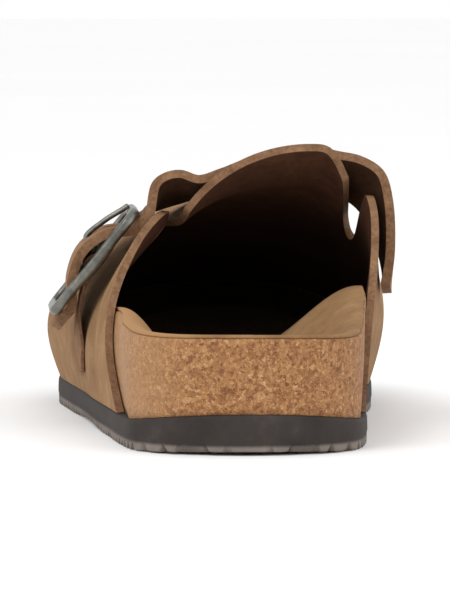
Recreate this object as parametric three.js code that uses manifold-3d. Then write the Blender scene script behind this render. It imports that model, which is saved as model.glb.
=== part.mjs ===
// A left clog: closed suede upper on a moulded cork footbed and a foam rubber sole.
// Millimetres. +X points to the inner side of the foot, +Y to the toe, +Z up.
// The origin is on the floor, under the middle of the heel's contact patch.
import * as THREE from 'three';
import { mergeVertices } from 'three/addons/utils/BufferGeometryUtils.js';
import Module from 'manifold-3d';

const wasm = await Module();
wasm.setup();

// Sizes of the last and the sole
const soleLength = 280;
const ballWidth = 102.5;
const heelWidth = 75.8;
const heelSeat = 45;
const soleThickness = 8.8;
const heelLift = 2.6;
const heelSpring = 1.2;
const toeSpring = 13;
const waistRise = 1.2;
const treadDepth = 2.4;
const treadBand = 7;
const treadInset = 2.2;
const treadRound = 0.3;
const rimRound = 0.7;
const soleBulge = 0.6;

// Sizes of the footbed and its lining
const corkHeight = 35;
const corkInset = 0.8;
const insoleThickness = 1.2;

// Sizes of the upper
const instepHeight = 88;
const upperWall = 2.4;
const tongueCorner = 9;
const outerTongueCurl = 1.5;
const innerTongueCurl = 0.5;
const outerWingFlare = 4.5;
const innerWingFlare = 5;

// Sizes of the strap and its buckle
const strapWidth = 26;
const strapThickness = 3;
const holePitch = 7.5;
const holeDiameter = 3.8;
const holeCount = 4;
const frameLength = 42.6;
const frameWidth = 36;
const frameCorner = 5;
const railWidth = 3.5;
const railDepth = 3.2;
const earDepth = 0.8;
const earReach = 0.45;
const barDiameter = 1.8;
const prongDiameter = 1.8;
const prongTip = 1;
const buckleSlope = 50.7;
const buckleYaw = 0.2;
const buckleAngle = 30.2;
const buckleStand = 8.6;
const tabWidth = 18;
const tabThickness = 1.2;
const prongSlot = 4;
const tabEnd = 3;
const tabSewnAngles = [6, 9, 12];

// Places along the shoe from the heel's back, as shares of the sole's length
const slitStartShare = 0.357;
const slitEndShare = 0.5715;
const tongueRearShare = 0.3786;
const strapPlaceShare = 0.4643;

// Clearance between pieces that touch on the real shoe, and the room for the upper's seat at the toe
const gap = 0.3;
const toeRoom = 0.35;

// Where the rises of the sole start and end, as shares of its length
const heelSpringEnd = 0.12;
const heelLiftEnd = 0.16;
const waistStart = 0.28;
const waistMiddle = 0.43;
const waistEnd = 0.58;
const toeSpringStart = 0.72;
const toeRoomEnd = 0.9;
const bulgeHeight = 0.6;

// Ends of the middle line of sole and footbed, as shares of heel width and ball width
const heelSpineShare = 0.45;
const toeSpineShare = 0.42;

// Outline of the sole. Rows are equal steps of the turn from heel to toe. The width of a row is a mix
// of heel and ball width, and outer and inner are its shares on either side of the heel's middle.
const outlineRows = [
  { turn: 0, heel: 1, outer: 0, inner: 0 },
  { turn: 1, heel: 1, outer: 0.27, inner: 0.27 },
  { turn: 2, heel: 1, outer: 0.438, inner: 0.438 },
  { turn: 3, heel: 1, outer: 0.498, inner: 0.5 },
  { turn: 4, heel: 0.8, outer: 0.502, inner: 0.486 },
  { turn: 5, heel: 0.5, outer: 0.498, inner: 0.442 },
  { turn: 6, heel: 0.25, outer: 0.495, inner: 0.445 },
  { turn: 7, heel: 0, outer: 0.502, inner: 0.464 },
  { turn: 8, heel: 0, outer: 0.527, inner: 0.476 },
  { turn: 9, heel: 0, outer: 0.473, inner: 0.444 },
  { turn: 10, heel: 0, outer: 0.361, inner: 0.366 },
  { turn: 11, heel: 0, outer: 0.19, inner: 0.244 },
  { turn: 12, heel: 0, outer: -0.03, inner: 0.03 },
];
const lastTurn = 12;

// Footbed along the foot. Heights are shares of the cork height above the sole. The slopes are the
// shares of the half width at which the bed starts to rise to its rim.
const bedRows = [
  { along: 0, outerRim: 0.64, innerRim: 0.64, bed: 0.3, outerSlope: 0.4, innerSlope: 0.4 },
  { along: 0.14, outerRim: 0.78, innerRim: 0.75, bed: 0.34, outerSlope: 0.42, innerSlope: 0.4 },
  { along: 0.33, outerRim: 0.82, innerRim: 1, bed: 0.41, outerSlope: 0.48, innerSlope: 0.15 },
  { along: 0.5, outerRim: 0.64, innerRim: 0.8, bed: 0.4, outerSlope: 0.6, innerSlope: 0.3 },
  { along: 0.64, outerRim: 0.5, innerRim: 0.52, bed: 0.28, outerSlope: 0.75, innerSlope: 0.7 },
  { along: 0.8, outerRim: 0.46, innerRim: 0.46, bed: 0.24, outerSlope: 0.8, innerSlope: 0.8 },
  { along: 1, outerRim: 0.4, innerRim: 0.4, bed: 0.24, outerSlope: 0.8, innerSlope: 0.8 },
];

// Ridge of the upper, where its two sides meet: its place along the shoe, its shift from the heel's
// middle as a share of ball width, and its height as a share of instep height.
const ridgeRows = [
  { along: 0, ridge: 0, shift: 0.229, height: 1.05 },
  { along: 0.18, ridge: 0.18, shift: 0.229, height: 1.05 },
  { along: 0.37, ridge: 0.37, shift: 0.232, height: 1.01 },
  { along: 0.46, ridge: 0.46, shift: 0.2, height: 0.885 },
  { along: 0.6, ridge: 0.595, shift: 0.07, height: 0.775 },
  { along: 0.72, ridge: 0.69, shift: 0.01, height: 0.665 },
  { along: 0.83, ridge: 0.76, shift: 0.005, height: 0.605 },
  { along: 0.93, ridge: 0.8, shift: 0.01, height: 0.578 },
  { along: 1, ridge: 0.81, shift: 0.012, height: 0.57 },
];

// Sides of the upper. The powers are those of the superellipses from the sole up to the ridge, and
// the bulges are shares of ball width.
const sideRows = [
  { along: 0, outerPower: 2, innerPower: 4, outerBulge: 0.02, innerBulge: 0.02 },
  { along: 0.18, outerPower: 2, innerPower: 4, outerBulge: 0.02, innerBulge: 0.02 },
  { along: 0.37, outerPower: 1.93, innerPower: 4, outerBulge: 0.035, innerBulge: 0.03 },
  { along: 0.46, outerPower: 1.92, innerPower: 3.6, outerBulge: 0.045, innerBulge: 0.035 },
  { along: 0.6, outerPower: 2.6, innerPower: 2.9, outerBulge: 0.045, innerBulge: 0.04 },
  { along: 0.72, outerPower: 2.6, innerPower: 2.6, outerBulge: 0.045, innerBulge: 0.04 },
  { along: 0.83, outerPower: 2.4, innerPower: 2.4, outerBulge: 0.04, innerBulge: 0.04 },
  { along: 0.93, outerPower: 2.3, innerPower: 2.3, outerBulge: 0.04, innerBulge: 0.04 },
  { along: 1, outerPower: 2.3, innerPower: 2.3, outerBulge: 0.04, innerBulge: 0.04 },
];

// Rear edge of the two wings: where each share of the wing's rise starts along the shoe.
const wingRows = [
  { rise: 0, outer: 0.186, inner: 0.186 },
  { rise: 0.2, outer: 0.262, inner: 0.262 },
  { rise: 0.4, outer: 0.311, inner: 0.309 },
  { rise: 0.6, outer: 0.346, inner: 0.347 },
  { rise: 0.8, outer: 0.386, inner: 0.388 },
  { rise: 0.93, outer: 0.415, inner: 0.417 },
  { rise: 1, outer: 0.446, inner: 0.446 },
];

// Slit between the wing and the tongue on either side, from its rear to its front end: the angle of
// its middle line and half of its opening, both in degrees up the side of the upper.
const slitRows = [
  { share: 0, outerAngle: 53.5, innerAngle: 51, outerOpening: 0.6, innerOpening: 1 },
  { share: 0.35, outerAngle: 53.5, innerAngle: 49.2, outerOpening: 0.8, innerOpening: 1.8 },
  { share: 0.66, outerAngle: 53, innerAngle: 46.8, outerOpening: 1, innerOpening: 2.8 },
  { share: 1, outerAngle: 52, innerAngle: 45, outerOpening: 0.8, innerOpening: 2.4 },
];

// Path of the strap from its sewn end over the instep to the buckle: the side it is on, the angle of the
// ray from the section's foot, and how far its rear and front edges stand off the upper, as shares of the
// buckle's stand.
const strapRows = [
  { side: 1, angle: 26, rearLift: 0.12, frontLift: 0.07 },
  { side: 1, angle: 32, rearLift: 0.28, frontLift: 0.07 },
  { side: 1, angle: 42, rearLift: 0.651, frontLift: 0.186 },
  { side: 1, angle: 48, rearLift: 0.86, frontLift: 0.233 },
  { side: 1, angle: 54, rearLift: 0.581, frontLift: 0.14 },
  { side: 1, angle: 62, rearLift: 0.163, frontLift: 0.047 },
  { side: 1, angle: 76, rearLift: 0.035, frontLift: 0.035 },
  { side: -1, angle: 80, rearLift: 0.035, frontLift: 0.035 },
  { side: -1, angle: 68, rearLift: 0.035, frontLift: 0.035 },
  { side: -1, angle: 62, rearLift: 0.233, frontLift: 0.035 },
  { side: -1, angle: 59, rearLift: 0.767, frontLift: 0.116 },
  { side: -1, angle: 56, rearLift: 1, frontLift: 0.209 },
  { side: -1, angle: 53, rearLift: 1, frontLift: 0.302 },
];

const radians = Math.PI / 180;
const tiny = 1e-9;

function mix(from, to, share) {
  return from + (to - from) * share;
}

function clamp(value, low, high) {
  return Math.min(high, Math.max(low, value));
}

function smoothStep(low, high, value) {
  const share = clamp((value - low) / (high - low), 0, 1);
  return share * share * (3 - 2 * share);
}

// A column of a table as a smooth curve through its rows.
function columnAt(rows, key, column, place) {
  const last = rows.length - 1;
  const at = clamp(place, rows[0][key], rows[last][key]);
  let row = 0;
  while (row < last - 1 && rows[row + 1][key] < at) {
    row += 1;
  }
  const slopeAt = (index) => {
    const before = rows[Math.max(0, index - 1)];
    const after = rows[Math.min(last, index + 1)];
    return (after[column] - before[column]) / (after[key] - before[key]);
  };
  const span = rows[row + 1][key] - rows[row][key];
  const share = (at - rows[row][key]) / span;
  const square = share * share;
  const cube = square * share;
  return (2 * cube - 3 * square + 1) * rows[row][column]
    + (cube - 2 * square + share) * span * slopeAt(row)
    + (3 * square - 2 * cube) * rows[row + 1][column]
    + (cube - square) * span * slopeAt(row + 1);
}

function sideName(side, outer, inner) {
  return side < 0 ? outer : inner;
}

// The turn runs from 0 at the heel's back to 1 at the toe tip, and closes both ends round.
function alongAtTurn(turn) {
  return (1 - Math.cos(Math.PI * turn)) / 2;
}

function turnAtAlong(along) {
  return Math.acos(1 - 2 * clamp(along, 0, 1)) / Math.PI;
}

function rawEdge(turn, side) {
  const branch = turn < 1 - tiny ? side : 1;
  const row = turn * lastTurn;
  const width = mix(ballWidth, heelWidth, columnAt(outlineRows, 'turn', 'heel', row));
  const share = columnAt(outlineRows, 'turn', sideName(branch, 'outer', 'inner'), row);
  return new THREE.Vector2(branch * share * width, alongAtTurn(turn) * soleLength - heelSeat);
}

// A point of the sole's outline, moved inwards by the inset along the outline's own normal.
function edgePoint(turn, side, inset) {
  const step = 0.002;
  const point = rawEdge(turn, side);
  if (turn < step || turn > 1 - step) {
    point.y += turn < step ? inset : -inset;
    return point;
  }
  const tangent = rawEdge(turn + step, side).sub(rawEdge(turn - step, side)).normalize();
  point.x -= side * tangent.y * inset;
  point.y += side * tangent.x * inset;
  return point;
}

// The middle line that the rings of the sole and the footbed close on. It stops short of both ends.
function spinePoint(turn) {
  const start = heelWidth * heelSpineShare;
  const end = soleLength - ballWidth * toeSpineShare;
  const along = mix(start, end, alongAtTurn(turn)) / soleLength;
  const place = turnAtAlong(along);
  const x = (rawEdge(place, 1).x + rawEdge(place, -1).x) / 2;
  return new THREE.Vector2(x, along * soleLength - heelSeat);
}

function alongAt(y) {
  return (y + heelSeat) / soleLength;
}

// Rise of the whole sole off the floor at the heel's back and at the toe.
function springAt(along) {
  const heel = heelSpring * Math.max(0, 1 - along / heelSpringEnd) ** 2;
  const toe = toeSpring * (Math.max(0, along - toeSpringStart) / (1 - toeSpringStart)) ** 2;
  return heel + toe;
}

function soleBottom(y) {
  const along = alongAt(y);
  const rise = smoothStep(waistStart, waistMiddle, along);
  const fall = smoothStep(waistMiddle, waistEnd, along);
  return springAt(along) + waistRise * rise * (1 - fall);
}

function soleTop(y) {
  const along = alongAt(y);
  return springAt(along) + soleThickness + heelLift * Math.max(0, 1 - along / heelLiftEnd) ** 2;
}

// Room under the upper where the sole rises to the toe.
function toeSlack(y) {
  return toeRoom * smoothStep(toeSpringStart, toeRoomEnd, alongAt(y));
}

// Closed solid from a grid of points: rings are rows from one spine to the other, and each ring goes
// round the outline once. The first rings can have their quads split the other way, so that two solids
// that lie on each other share their creases.
function ringSolid(rings, halfCount, crossedRings = 0) {
  const count = halfCount * 2;
  const positions = [];
  const corner = (ring, column) => {
    const wrapped = ((column % count) + count) % count;
    const side = wrapped <= halfCount ? -1 : 1;
    const turn = wrapped <= halfCount ? wrapped / halfCount : (count - wrapped) / halfCount;
    return rings[ring](turn, side, wrapped);
  };
  for (let ring = 0; ring < rings.length - 1; ring += 1) {
    for (let column = 0; column < count; column += 1) {
      const a = corner(ring, column);
      const b = corner(ring, column + 1);
      const c = corner(ring + 1, column + 1);
      const d = corner(ring + 1, column);
      if (ring < crossedRings) {
        positions.push(...a, ...b, ...d, ...b, ...c, ...d);
      } else {
        positions.push(...a, ...b, ...c, ...a, ...c, ...d);
      }
    }
  }
  return weld(positions);
}

// Merge equal corners, drop empty triangles and turn the faces outwards.
function weld(positions) {
  const loose = new THREE.BufferGeometry();
  loose.setAttribute('position', new THREE.Float32BufferAttribute(positions, 3));
  const merged = mergeVertices(loose, 0.002);
  const index = [];
  for (let item = 0; item < merged.index.count; item += 3) {
    const a = merged.index.getX(item);
    const b = merged.index.getX(item + 1);
    const c = merged.index.getX(item + 2);
    if (a !== b && b !== c && c !== a) {
      index.push(a, b, c);
    }
  }
  merged.setIndex(index);
  return merged;
}

function volumeOf(geometry) {
  const corners = geometry.attributes.position;
  const a = new THREE.Vector3();
  const b = new THREE.Vector3();
  const c = new THREE.Vector3();
  let volume = 0;
  for (let item = 0; item < geometry.index.count; item += 3) {
    a.fromBufferAttribute(corners, geometry.index.getX(item));
    b.fromBufferAttribute(corners, geometry.index.getX(item + 1));
    c.fromBufferAttribute(corners, geometry.index.getX(item + 2));
    volume += a.dot(b.cross(c)) / 6;
  }
  return volume;
}

function faceOut(geometry) {
  if (volumeOf(geometry) < 0) {
    const order = Array.from(geometry.index.array);
    for (let item = 0; item < order.length; item += 3) {
      [order[item + 1], order[item + 2]] = [order[item + 2], order[item + 1]];
    }
    geometry.setIndex(order);
  }
  return geometry;
}

// A wall of even thickness round a welded sheet, half of it on either side. Where the sheet stands on
// its seat, the wall is measured level, so that its lower edge stays on the seat.
function thicken(sheet, thickness, isSeated = () => false) {
  sheet.computeVertexNormals();
  const middle = sheet.attributes.position;
  const normal = sheet.attributes.normal;
  const count = middle.count;
  for (let item = 0; item < count; item += 1) {
    if (isSeated(middle.getY(item), middle.getZ(item))) {
      const level = new THREE.Vector3(normal.getX(item), normal.getY(item), 0).normalize();
      normal.setXYZ(item, level.x, level.y, level.z);
    }
  }
  const positions = [];
  for (const half of [0.5, -0.5]) {
    for (let item = 0; item < count; item += 1) {
      positions.push(
        middle.getX(item) + normal.getX(item) * thickness * half,
        middle.getY(item) + normal.getY(item) * thickness * half,
        middle.getZ(item) + normal.getZ(item) * thickness * half,
      );
    }
  }
  const index = [];
  const edges = new Map();
  for (let item = 0; item < sheet.index.count; item += 3) {
    const corners = [0, 1, 2].map((offset) => sheet.index.getX(item + offset));
    index.push(corners[0], corners[1], corners[2]);
    index.push(corners[0] + count, corners[2] + count, corners[1] + count);
    for (let offset = 0; offset < 3; offset += 1) {
      const from = corners[offset];
      const to = corners[(offset + 1) % 3];
      edges.set(`${from} ${to}`, [from, to]);
    }
  }
  for (const [from, to] of edges.values()) {
    if (!edges.has(`${to} ${from}`)) {
      index.push(to, from, from + count, to, from + count, to + count);
    }
  }
  const wall = new THREE.BufferGeometry();
  wall.setAttribute('position', new THREE.Float32BufferAttribute(positions, 3));
  wall.setIndex(index);
  return faceOut(wall);
}

// A sheet from a grid of points given by row and column.
function gridTriangles(point, rowCount, columnCount, flipped) {
  const positions = [];
  for (let row = 0; row < rowCount; row += 1) {
    for (let column = 0; column < columnCount; column += 1) {
      const a = point(row, column);
      const b = point(row + 1, column);
      const c = point(row + 1, column + 1);
      const d = point(row, column + 1);
      const order = flipped ? [a, c, b, a, d, c] : [a, b, c, a, c, d];
      for (const corner of order) {
        positions.push(corner.x, corner.y, corner.z);
      }
    }
  }
  return positions;
}

function toManifold(geometry) {
  return new wasm.Manifold(new wasm.Mesh({
    numProp: 3,
    vertProperties: new Float32Array(geometry.attributes.position.array),
    triVerts: new Uint32Array(geometry.index.array),
  }));
}

function fromManifold(solid) {
  const mesh = solid.getMesh();
  const geometry = new THREE.BufferGeometry();
  geometry.setAttribute('position', new THREE.Float32BufferAttribute(mesh.vertProperties, 3));
  geometry.setIndex(new THREE.BufferAttribute(mesh.triVerts, 1));
  return geometry;
}

function plainSolid(geometry) {
  geometry.deleteAttribute('normal');
  geometry.deleteAttribute('uv');
  return mergeVertices(geometry);
}

// A point of the upper's middle surface. The angle is that of the ray from the section's foot, 0 at
// the sole and 90 at the ridge, and the lift is a distance outwards from the middle surface.
function sectionAt(turn, side) {
  const along = alongAtTurn(turn);
  const foot = edgePoint(turn, side, soleBulge + upperWall / 2);
  const ridge = new THREE.Vector2(
    columnAt(ridgeRows, 'along', 'shift', along) * ballWidth,
    columnAt(ridgeRows, 'along', 'ridge', along) * soleLength - heelSeat,
  );
  return {
    foot,
    ridge,
    floor: soleTop(foot.y) + gap + toeSlack(foot.y),
    top: columnAt(ridgeRows, 'along', 'height', along) * instepHeight,
    power: columnAt(sideRows, 'along', sideName(side, 'outerPower', 'innerPower'), along),
    bulge: columnAt(sideRows, 'along', sideName(side, 'outerBulge', 'innerBulge'), along) * ballWidth,
  };
}

// Largest value of the bulge's curve below, which turns a bulge into the depth that the table gives.
const fullBulge = 0.238;

function sectionReach(section, height) {
  const width = Math.max(0, 1 - height ** section.power) ** (1 / section.power);
  const bulge = (section.bulge / fullBulge) * height * width ** 6;
  const across = section.foot.clone().sub(section.ridge);
  const reach = across.length();
  return across.multiplyScalar(width + bulge / reach).add(section.ridge);
}

function middlePoint(turn, side, angle) {
  const section = sectionAt(turn, side);
  const width = Math.cos(angle * radians);
  const height = Math.sin(angle * radians);
  const ray = (Math.abs(width) ** section.power + height ** section.power) ** (-1 / section.power);
  const place = sectionReach(section, Math.min(1, height * ray));
  return new THREE.Vector3(place.x, place.y, mix(section.floor, section.top, height * ray));
}

function liftedPoint(turn, side, angle, lift) {
  const step = 1;
  const low = middlePoint(turn, side, Math.max(0, angle - step));
  const high = middlePoint(turn, side, Math.min(90, angle + step));
  const rise = high.sub(low);
  const outwards = new THREE.Vector3(side * rise.z, 0, -side * rise.x).normalize();
  return middlePoint(turn, side, angle).addScaledVector(outwards, lift);
}

// Sole
function buildOutsole() {
  const halfCount = 52;
  const inset = (turn, side, distance, share) => {
    const edge = edgePoint(turn, side, distance);
    return edge.lerp(spinePoint(turn), share);
  };
  const groove = (column) => (column % 2 === 1 ? treadDepth : 0);
  const ring = (distance, share, height) => (turn, side, column) => {
    const place = inset(turn, side, distance, share);
    return [place.x, place.y, height(place.y, column)];
  };
  const rings = [
    ring(0, 1, (y) => soleBottom(y)),
    ring(0, 0.5, (y) => soleBottom(y)),
    ring(treadBand, 0, (y) => soleBottom(y)),
    ring(treadInset, 0, (y, column) => soleBottom(y) + groove(column)),
    ring(soleBulge, 0, (y, column) => soleBottom(y) + treadDepth + treadRound * (1 + groove(column))),
    ring(0, 0, (y) => mix(soleBottom(y), soleTop(y), bulgeHeight)),
    ring(soleBulge * 0.6, 0, (y) => soleTop(y) - rimRound),
    ring(soleBulge * 2, 0, (y) => soleTop(y)),
    ring(0, 0.5, (y) => soleTop(y)),
    ring(0, 1, (y) => soleTop(y)),
  ];
  return faceOut(ringSolid(rings, halfCount));
}

// Footbed
function bedAt(y, side) {
  const along = alongAt(y);
  return {
    rim: columnAt(bedRows, 'along', sideName(side, 'outerRim', 'innerRim'), along) * corkHeight,
    bed: columnAt(bedRows, 'along', 'bed', along) * corkHeight,
    slope: columnAt(bedRows, 'along', sideName(side, 'outerSlope', 'innerSlope'), along),
  };
}

// The cork's side is flush with the sole at the heel and lies inside the upper further on. The wings
// cover its foot before they cover its rim. The starts are shares of the length from which its foot
// and its rim move in, and the end comes just before the wing.
const rimOnWing = 0.4;
const footMovesIn = 0.09;
const rimMovesIn = 0.13;
const beforeWing = 0.004;
const corkPlay = gap * 1.5;

function corkSide(turn, side, rise) {
  const edge = edgePoint(turn, side, corkInset);
  const wing = columnAt(wingRows, 'rise', sideName(side, 'outer', 'inner'), rise * rimOnWing);
  const covered = smoothStep(mix(footMovesIn, rimMovesIn, rise), wing - beforeWing, alongAt(edge.y));
  const level = bedAt(edge.y, side).rim * rise;
  const section = sectionAt(turn, side);
  const height = level / (section.top - section.floor);
  const inside = sectionReach(section, height);
  const inwards = section.ridge.clone().sub(section.foot).normalize();
  inside.addScaledVector(inwards, upperWall / 2 + corkPlay);
  return edge.lerp(inside, covered);
}

function bedHeight(turn, side, share) {
  const place = corkSide(turn, side, 1).lerp(spinePoint(turn), share);
  const bed = bedAt(place.y, side);
  const slope = smoothStep(bed.slope, rimFlat, 1 - share);
  return soleTop(place.y) + gap + mix(bed.bed, bed.rim, slope);
}

// Rings of the bed as shares of the way from its rim to the middle line, and the share of the half
// width where the rim turns flat.
const bedShares = [0.05, 0.12, 0.2, 0.3, 0.42, 0.56, 0.75, 1];
const rimFlat = 0.95;

function buildFootbed() {
  const halfCount = 30;
  const bottom = (share) => (turn, side) => {
    const place = corkSide(turn, side, 0).lerp(spinePoint(turn), share);
    return [place.x, place.y, soleTop(place.y) + gap];
  };
  const wall = (rise) => (turn, side) => {
    const place = corkSide(turn, side, rise);
    return [place.x, place.y, soleTop(place.y) + gap + bedAt(place.y, side).rim * rise];
  };
  const top = (share) => (turn, side) => {
    const place = corkSide(turn, side, 1).lerp(spinePoint(turn), share);
    return [place.x, place.y, bedHeight(turn, side, share)];
  };
  const rings = [bottom(1), bottom(0.5), bottom(0), wall(0.33), wall(0.66), wall(0.97)];
  for (const share of bedShares) {
    rings.push(top(share));
  }
  return faceOut(ringSolid(rings, halfCount));
}

// Lining of the bed and its slopes
function buildInsole() {
  const halfCount = 30;
  const layer = (share, rise) => (turn, side) => {
    const place = corkSide(turn, side, 1).lerp(spinePoint(turn), share);
    return [place.x, place.y, bedHeight(turn, side, share) + rise];
  };
  const rings = [...bedShares].reverse().map((share) => layer(share, gap));
  rings.push(...bedShares.map((share) => layer(share, gap + insoleThickness)));
  return faceOut(ringSolid(rings, halfCount, bedShares.length - 1));
}

// Upper
function slitAt(along, side) {
  const share = clamp((along - slitStartShare) / (slitEndShare - slitStartShare), 0, 1);
  const angle = columnAt(slitRows, 'share', sideName(side, 'outerAngle', 'innerAngle'), share);
  const opening = columnAt(slitRows, 'share', sideName(side, 'outerOpening', 'innerOpening'), share);
  const closing = opening * Math.sqrt(1 - share ** 8);
  return { wing: angle - closing, tongue: angle + closing };
}

const wingLevels = [0, 0.1, 0.2, 0.3, 0.42, 0.54, 0.66, 0.78, 0.9, 1];
const tongueLevels = [0, 0.12, 0.3, 0.52, 0.76, 1];
const wingSteps = 11;
const tongueSteps = 9;
const frontSteps = 14;

function buildUpper() {
  const positions = [];
  for (const side of [-1, 1]) {
    const wing = (row, column) => {
      const rear = columnAt(wingRows, 'rise', sideName(side, 'outer', 'inner'), wingLevels[row]);
      const along = mix(rear, slitEndShare, column / wingSteps);
      const top = slitAt(along, side).wing;
      const flare = sideName(side, outerWingFlare, innerWingFlare) * wingLevels[row] ** 4;
      const fade = (1 - column / wingSteps) ** 3;
      return liftedPoint(turnAtAlong(along), side, wingLevels[row] * top, flare * fade);
    };
    const tongue = (row, column) => {
      const across = 1 - tongueLevels[row];
      const rear = tongueRearShare + tongueCorner * across ** 5 / soleLength;
      const along = mix(rear, slitEndShare, column / tongueSteps);
      const bottom = slitAt(along, side).tongue;
      const curl = sideName(side, outerTongueCurl, innerTongueCurl) * (1 - tongueLevels[row]) ** 3;
      const fade = (1 - column / tongueSteps) ** 2;
      return liftedPoint(turnAtAlong(along), side, mix(bottom, 90, tongueLevels[row]), -curl * fade);
    };
    const front = (row, column) => {
      const low = row < wingLevels.length;
      const level = low ? wingLevels[row] : tongueLevels[row - wingLevels.length + 1];
      const middle = (slitAt(slitEndShare, -1).wing + slitAt(slitEndShare, 1).wing) / 2;
      const split = mix(slitAt(slitEndShare, side).wing, middle, column / frontSteps);
      const angle = low ? level * split : mix(split, 90, level);
      const turn = mix(turnAtAlong(slitEndShare), 1, column / frontSteps);
      return middlePoint(turn, column < frontSteps ? side : 1, angle);
    };
    const flipped = side > 0;
    positions.push(...gridTriangles(wing, wingLevels.length - 1, wingSteps, flipped));
    positions.push(...gridTriangles(tongue, tongueLevels.length - 1, tongueSteps, flipped));
    const frontRows = wingLevels.length + tongueLevels.length - 2;
    positions.push(...gridTriangles(front, frontRows, frontSteps, flipped));
  }
  return thicken(weld(positions), upperWall, (y, z) => z - soleTop(y) < gap + 0.05 + toeSlack(y));
}

// Run of the strap through the buckle. The place is a share of the way from the bar to a rail, and the
// rise is a share of the way from under the rail to over the bar.
const runRows = [
  { place: -1.11, rise: -0.08 },
  { place: -1, rise: 0 },
  { place: -0.82, rise: 0 },
  { place: -0.45, rise: 0.76 },
  { place: 0, rise: 1 },
  { place: 0.45, rise: 0.66 },
  { place: 0.82, rise: 0 },
  { place: 1, rise: 0 },
  { place: 1.26, rise: -0.05 },
];

// Run of the prong from its eye up through the strap's hole. The place is a share of the way from the
// bar to the rail, and the rise is a share of the strap's height over the bar.
const prongRows = [
  { place: -0.174, rise: 0.52 },
  { place: -0.187, rise: 0.9 },
  { place: -0.205, rise: 1.32 },
  { place: -0.6, rise: 1.06 },
];
const prongInHole = prongRows[1];

const strapMiddle = strapPlaceShare * soleLength - heelSeat;
const buckleRear = strapMiddle - frameWidth / 2;
const buckleSeat = liftedPoint(turnAtAlong(alongAt(buckleRear)), -1, buckleAngle, buckleStand);

// Places in the buckle's own frame: down is along the frame from its middle, out is away from the foot.
// The middle stands off the outer side of the upper, and the yaw turns the buckle with that side, which
// widens to the front.
function bucklePoint(down, out, y) {
  const slope = buckleSlope * radians;
  const turned = out + (y - buckleRear) * Math.tan(buckleYaw * radians);
  return new THREE.Vector3(
    buckleSeat.x - down * Math.cos(slope) - turned * Math.sin(slope),
    y,
    buckleSeat.z - down * Math.sin(slope) + turned * Math.cos(slope),
  );
}

const railPlace = (frameLength - railWidth) / 2;
const underRail = -(railDepth / 2 + 2 * gap + strapThickness / 2);
const eyeRadius = barDiameter / 2 + gap + prongDiameter / 2;
const overBar = eyeRadius + prongDiameter / 2 + gap + strapThickness / 2;

// Strap
function strapNodes(y) {
  const turn = turnAtAlong(alongAt(y));
  const seat = upperWall / 2 + gap + strapThickness / 2;
  const across = (y - strapMiddle) / strapWidth + 0.5;
  const nodes = strapRows.map((row) => {
    const lift = buckleStand * mix(row.rearLift, row.frontLift, across);
    return liftedPoint(turn, row.side, row.angle, seat + lift);
  });
  for (const row of runRows) {
    nodes.push(bucklePoint(row.place * railPlace, mix(underRail, overBar, row.rise), y));
  }
  return nodes;
}

function buildStrap() {
  const lengthSteps = 46;
  const widthSteps = 4;
  const endCorner = 6;
  const curves = [];
  for (let column = 0; column <= widthSteps; column += 1) {
    const y = strapMiddle + strapWidth * (column / widthSteps - 0.5);
    curves.push(new THREE.CatmullRomCurve3(strapNodes(y), false, 'centripetal'));
  }
  const point = (row, column) => {
    const across = Math.abs(2 * column / widthSteps - 1);
    const trim = endCorner * across ** 3 / curves[column].getLength();
    const share = mix(0, 1 - trim, row / lengthSteps);
    return curves[column].getPointAt(share);
  };
  const band = thicken(weld(gridTriangles(point, lengthSteps, widthSteps, false)), strapThickness);
  let solid = toManifold(band);
  const middle = new THREE.CatmullRomCurve3(strapNodes(strapMiddle), false, 'centripetal');
  const length = middle.getLength();
  const firstHole = holePlace(middle);
  const radius = holeDiameter / 2;
  const up = new THREE.Vector3(0, 1, 0);
  for (let hole = 0; hole < holeCount; hole += 1) {
    const share = firstHole - hole * holePitch / length;
    const cutter = new THREE.CylinderGeometry(radius, radius, strapThickness * 3, 10);
    const along = middle.getTangentAt(share);
    const outwards = new THREE.Vector3(-along.z, 0, along.x).normalize();
    cutter.applyQuaternion(new THREE.Quaternion().setFromUnitVectors(up, outwards));
    const place = middle.getPointAt(share);
    cutter.translate(place.x, place.y, place.z);
    solid = solid.subtract(toManifold(plainSolid(cutter)));
  }
  return fromManifold(solid);
}

// The prong's hole is the place on the strap nearest to the prong's own place in it.
function holePlace(curve) {
  const target = bucklePoint(prongInHole.place * railPlace, prongInHole.rise * overBar, strapMiddle);
  let best = 0;
  for (let step = 0; step <= 400; step += 1) {
    const share = step / 400;
    if (curve.getPointAt(share).distanceTo(target) < curve.getPointAt(best).distanceTo(target)) {
      best = share;
    }
  }
  return best;
}

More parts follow.
